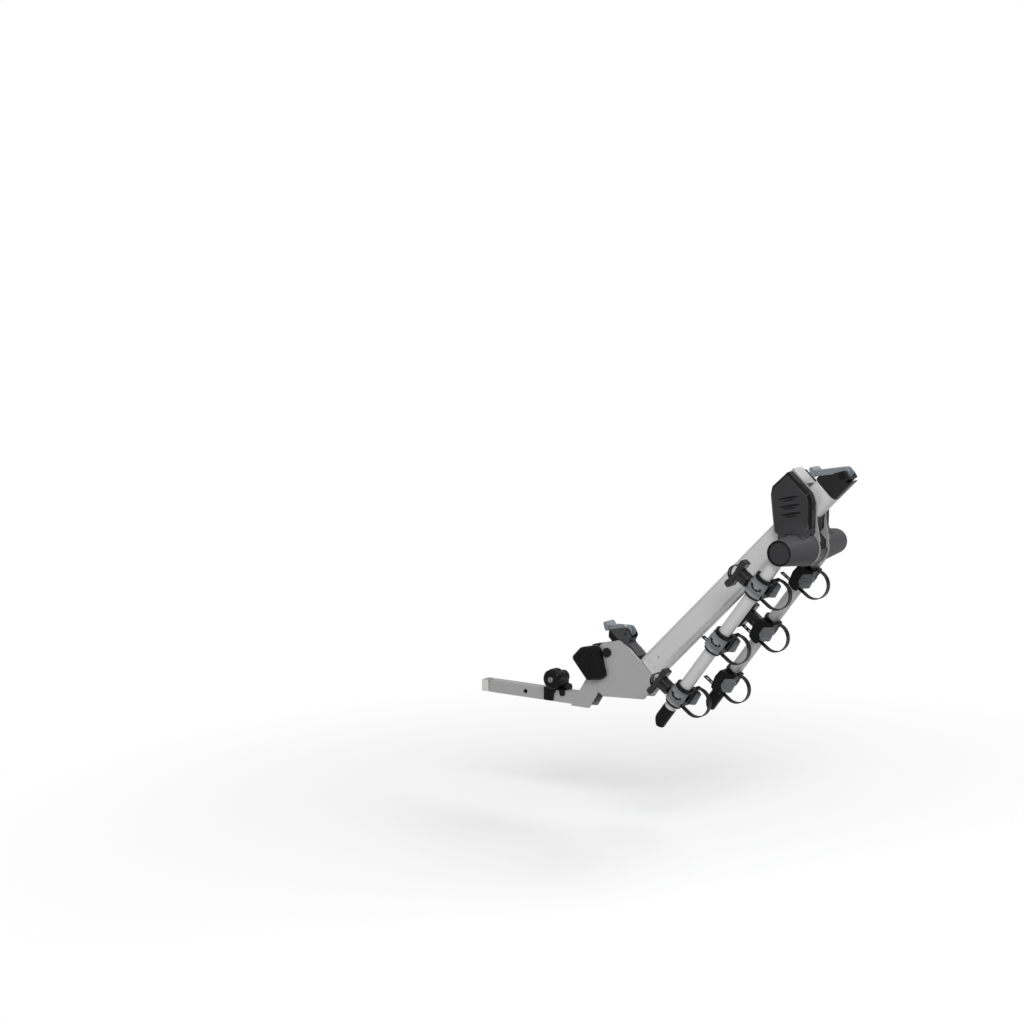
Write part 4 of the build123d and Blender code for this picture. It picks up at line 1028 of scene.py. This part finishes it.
class RACK_OT_collars(bpy.types.Operator):
    """Build the collars: two bands hollowed all round, with a wide gap between them"""

    bl_idname = "rack.collars"
    bl_label = "Collars"

    def execute(self, context):
        gap_size, gap_out = (16.0, 35.0, 13.0), 25.0
        # Start, end and depth of the hollow in each band, along the arm from the cradle's middle
        bands = ((-13.8, -2.8, 1.2), (13.0, 25.8, 2.4))
        collars = cad_copy("collars", "collars_body")
        for _name, middle, sign in cradle_places():
            gap = block("collar_gap", gap_size)
            gap_along = middle + COLLAR_GAP_BEYOND_CRADLE
            place(gap, arm_point(gap_along, 0, (ARM_SIDE + gap_out) * sign), *ON_ARM)
            cut(collars, gap)
            for low, high, dip in bands:
                band = self.band_cutter(low, high, dip)
                place(band, arm_point(middle, 0, ARM_SIDE * sign), *ON_ARM)
                cut(collars, band)
        soften(collars, 0.4, angle=34)
        show_as(collars, "collars")
        return {"FINISHED"}

    def band_cutter(self, low, high, dip, radius=25.5, steps=8):
        """Ring whose inner face bulges into a band of this outer radius."""
        inner = []
        for n in range(steps + 1):
            share = n / steps
            depth = dip * math.sin(math.pi * share) ** 0.7
            inner.append((low + (high - low) * share, radius + 0.02 - depth))
        outer = radius + 4.0
        return turned("band", [(low, outer)] + inner + [(high, outer), (low, outer)], 72, hollow=True)


class RACK_OT_cradles(bpy.types.Operator):
    """Build the cradles with the wide window that shows under each collar"""

    bl_idname = "rack.cradles"
    bl_label = "Cradles"

    def execute(self, context):
        window_size, window_out = (14.0, 10.0, 9.6), 20.0
        for name, middle, sign in cradle_places():
            cradle = cad_copy("cradle_" + name, "cradle_%s_body" % name)
            window = block("window", window_size)
            window_along = middle + COLLAR_GAP_BEYOND_CRADLE
            place(window, arm_point(window_along, 0, (ARM_SIDE + window_out) * sign), *ON_ARM)
            cut(cradle, window)
            soften(cradle, 0.6)
            show_as(cradle, "cradle_" + name)
        return {"FINISHED"}


class RACK_OT_tabs(bpy.types.Operator):
    """Build the release tabs with three grooves across each face"""

    bl_idname = "rack.tabs"
    bl_label = "Release tabs"

    def execute(self, context):
        groove_size, groove_pitch = (1.6, 52.0, 1.6), 6.1
        face_along, face_across, face_side = 4.7, 20.3, 86.45
        leaning = Matrix.Rotation(math.radians(45), 3, "Y")
        groove_axes = (leaning @ ACROSS_X, FORWARD, leaning @ UP)
        for name, middle, sign in cradle_places():
            tab = cad_copy("tab_" + name, "tab_%s_body" % name)
            soften(tab, 0.5)
            grooves = []
            for step in (-1, 0, 1):
                groove = block("tab_groove", groove_size)
                centre = arm_point(middle + face_along, face_across, face_side * sign)
                place(groove, centre + Vector((0, 0, step * groove_pitch * MM)), *groove_axes)
                grooves.append(groove)
            cut(tab, join(*grooves))
            smooth_shade(tab, 30)
            show_as(tab, "tab_" + name)
        return {"FINISHED"}


class RACK_OT_straps(bpy.types.Operator):
    """Build one ladder strap and lay a copy of it in each cradle"""

    bl_idname = "rack.straps"
    bl_label = "Straps"

    RADIUS = 36.0
    WEB_HALF = 4.2
    PITCH = 3.0

    def execute(self, context):
        loop_height, inset = 39.5, 25.0
        pattern = self.build_ribbon()
        self.recess_cells(pattern, context.scene.rack_details.strap_recess)
        self.cut_slots(pattern)
        soften(pattern, 0.35, segments=1, angle=40)
        for name, middle, sign in cradle_places():
            strap = pattern.copy()
            strap.data = pattern.data.copy()
            context.scene.collection.objects.link(strap)
            strap.name = "strap_%s_body" % name
            centre = arm_point(middle, loop_height, (ARM_SIDE - inset) * sign)
            place(strap, centre, ACROSS_X * sign, ARM_ALONG, ARM_ACROSS)
            smooth_shade(strap, 30)
            show_as(strap, "strap_" + name)
        bpy.data.objects.remove(pattern)
        return {"FINISHED"}

    def build_ribbon(self):
        """Ribbon about its loop's centre: width on X, the tail hanging from +Y."""
        width, thickness, tail, sweep = 16.0, 2.6, 89.0, math.radians(207.0)
        columns = 3
        bpy.ops.mesh.primitive_grid_add(x_subdivisions=columns, y_subdivisions=1, size=1)
        strap = bpy.context.object
        strap.name = "strap_pattern"
        strap.scale = (width * MM, thickness * MM, 1)
        strap.location = (0, self.RADIUS * MM, 0)
        settle(strap)
        edit_some(strap, "VERT", lambda vertex: abs(vertex.co.x) < width / columns * MM)
        spread = self.WEB_HALF / (width / columns / 2)
        bpy.ops.transform.resize(value=(spread, 1, 1), center_override=(0, self.RADIUS * MM, 0))
        bpy.ops.mesh.select_all(action="SELECT")
        for _cell in range(int(tail / self.PITCH)):
            bpy.ops.mesh.extrude_region_move(TRANSFORM_OT_translate={"value": (0, 0, -self.PITCH * MM)})
        object_mode()
        edit_some(strap, "FACE", lambda face: abs(face.center.z) < MM and abs(face.normal.z) > FACING)
        steps = int(sweep * self.RADIUS / self.PITCH)
        bpy.ops.mesh.spin(steps=steps, angle=sweep, center=(0, 0, 0), axis=(-1, 0, 0))
        weld()
        object_mode()
        return strap

    def recess_cells(self, strap, depth):
        """Sink every other middle face of the ribbon, which leaves rungs between."""
        last_cell = -57.0

        def is_cell(face):
            centre = face.center
            if abs(centre.x) > self.WEB_HALF * MM or centre.z < last_cell * MM:
                return False
            if centre.z < 0 <= centre.y:
                along, facing = -centre.z, FORWARD
            else:
                along = math.atan2(centre.z, centre.y) % (2 * math.pi) * self.RADIUS * MM
                facing = Vector((0, centre.y, centre.z)).normalized()
            return abs(face.normal.dot(facing)) > FACING and int(along / (self.PITCH * MM)) % 2 == 0

        edit_some(strap, "FACE", is_cell)
        bpy.ops.mesh.extrude_faces_move(TRANSFORM_OT_shrink_fatten={"value": -depth})
        object_mode()

    def cut_slots(self, strap):
        """Two slots near the end of the tail."""
        slot_size, corner = (6.4, 12.0, 9.6), 1.6
        slot_heights = (-63.0, -77.0)
        for height in slot_heights:
            slot = block("slot", slot_size, corner, segments=2)
            place(slot, Vector((0, self.RADIUS, height)) * MM, *UPRIGHT)
            cut(strap, slot)


class RACK_OT_cages(bpy.types.Operator):
    """Build the steadying cages with teeth along the back corners of each bar"""

    bl_idname = "rack.cages"
    bl_label = "Cages"

    def execute(self, context):
        gap_size, gap_pitch = (5.0, 5.0, 3.2), 6.4
        first_along, bar_back, corner_side = -4.0, -55.0, 12.0
        for name, middle, sign in cradle_places():
            if name not in CAGED_CRADLES:
                continue
            cage = cad_copy("cage_" + name, "cage_%s_body" % name)
            gaps = []
            for n in range(context.scene.rack_details.cage_teeth):
                for edge in (-1, 1):
                    gap = block("tooth_gap", gap_size)
                    side = (ARM_SIDE + corner_side * edge) * sign
                    place(gap, arm_point(middle + first_along + gap_pitch * n, bar_back, side), *ON_ARM)
                    gaps.append(gap)
            cut(cage, join(*gaps))
            soften(cage, 0.4)
            wear(cage, FINISHES["cage_plastic"])
            stand_for(cage, "cage_" + name)
            dress("cage_strap_" + name, 0.3, segments=1)
        return {"FINISHED"}


# Panel and registration

GROUPS = (RackColours, RackDetails, RackStage)
OPERATORS = (RACK_OT_stage, RACK_OT_finishes, RACK_OT_base, RACK_OT_mast, RACK_OT_latches,
             RACK_OT_side_covers, RACK_OT_hub, RACK_OT_arms, RACK_OT_collars, RACK_OT_cradles, RACK_OT_tabs,
             RACK_OT_straps, RACK_OT_cages)


class RACK_PT_panel(bpy.types.Panel):
    """Lists the rack's settings and steps"""

    bl_idname = "RACK_PT_panel"
    bl_label = "Bike rack"
    bl_space_type = "VIEW_3D"
    bl_region_type = "UI"
    bl_category = "Rack"

    def draw(self, context):
        layout = self.layout
        scene = context.scene
        for settings in (scene.rack_colours, scene.rack_details, scene.rack_stage):
            for name in settings.bl_rna.properties.keys():
                if name not in ("rna_type", "name"):
                    layout.prop(settings, name)
        for operator in OPERATORS:
            layout.operator(operator.bl_idname)


CLASSES = GROUPS + OPERATORS + (RACK_PT_panel,)


def register():
    """Make the settings, the steps and the panel known."""
    for each in CLASSES:
        bpy.utils.register_class(each)
    bpy.types.Scene.rack_colours = bpy.props.PointerProperty(type=RackColours)
    bpy.types.Scene.rack_details = bpy.props.PointerProperty(type=RackDetails)
    bpy.types.Scene.rack_stage = bpy.props.PointerProperty(type=RackStage)


def unregister():
    """Take the settings, the steps and the panel away again."""
    del bpy.types.Scene.rack_stage
    del bpy.types.Scene.rack_details
    del bpy.types.Scene.rack_colours
    for each in reversed(CLASSES):
        bpy.utils.unregister_class(each)


def main():
    """Register and build every piece in order."""
    register()
    bpy.ops.rack.stage()
    bpy.ops.rack.finishes()
    bpy.ops.rack.base()
    bpy.ops.rack.mast()
    bpy.ops.rack.latches()
    bpy.ops.rack.side_covers()
    bpy.ops.rack.hub()
    bpy.ops.rack.arms()
    bpy.ops.rack.collars()
    bpy.ops.rack.cradles()
    bpy.ops.rack.tabs()
    bpy.ops.rack.straps()
    bpy.ops.rack.cages()


if __name__ == "__main__":
    main()
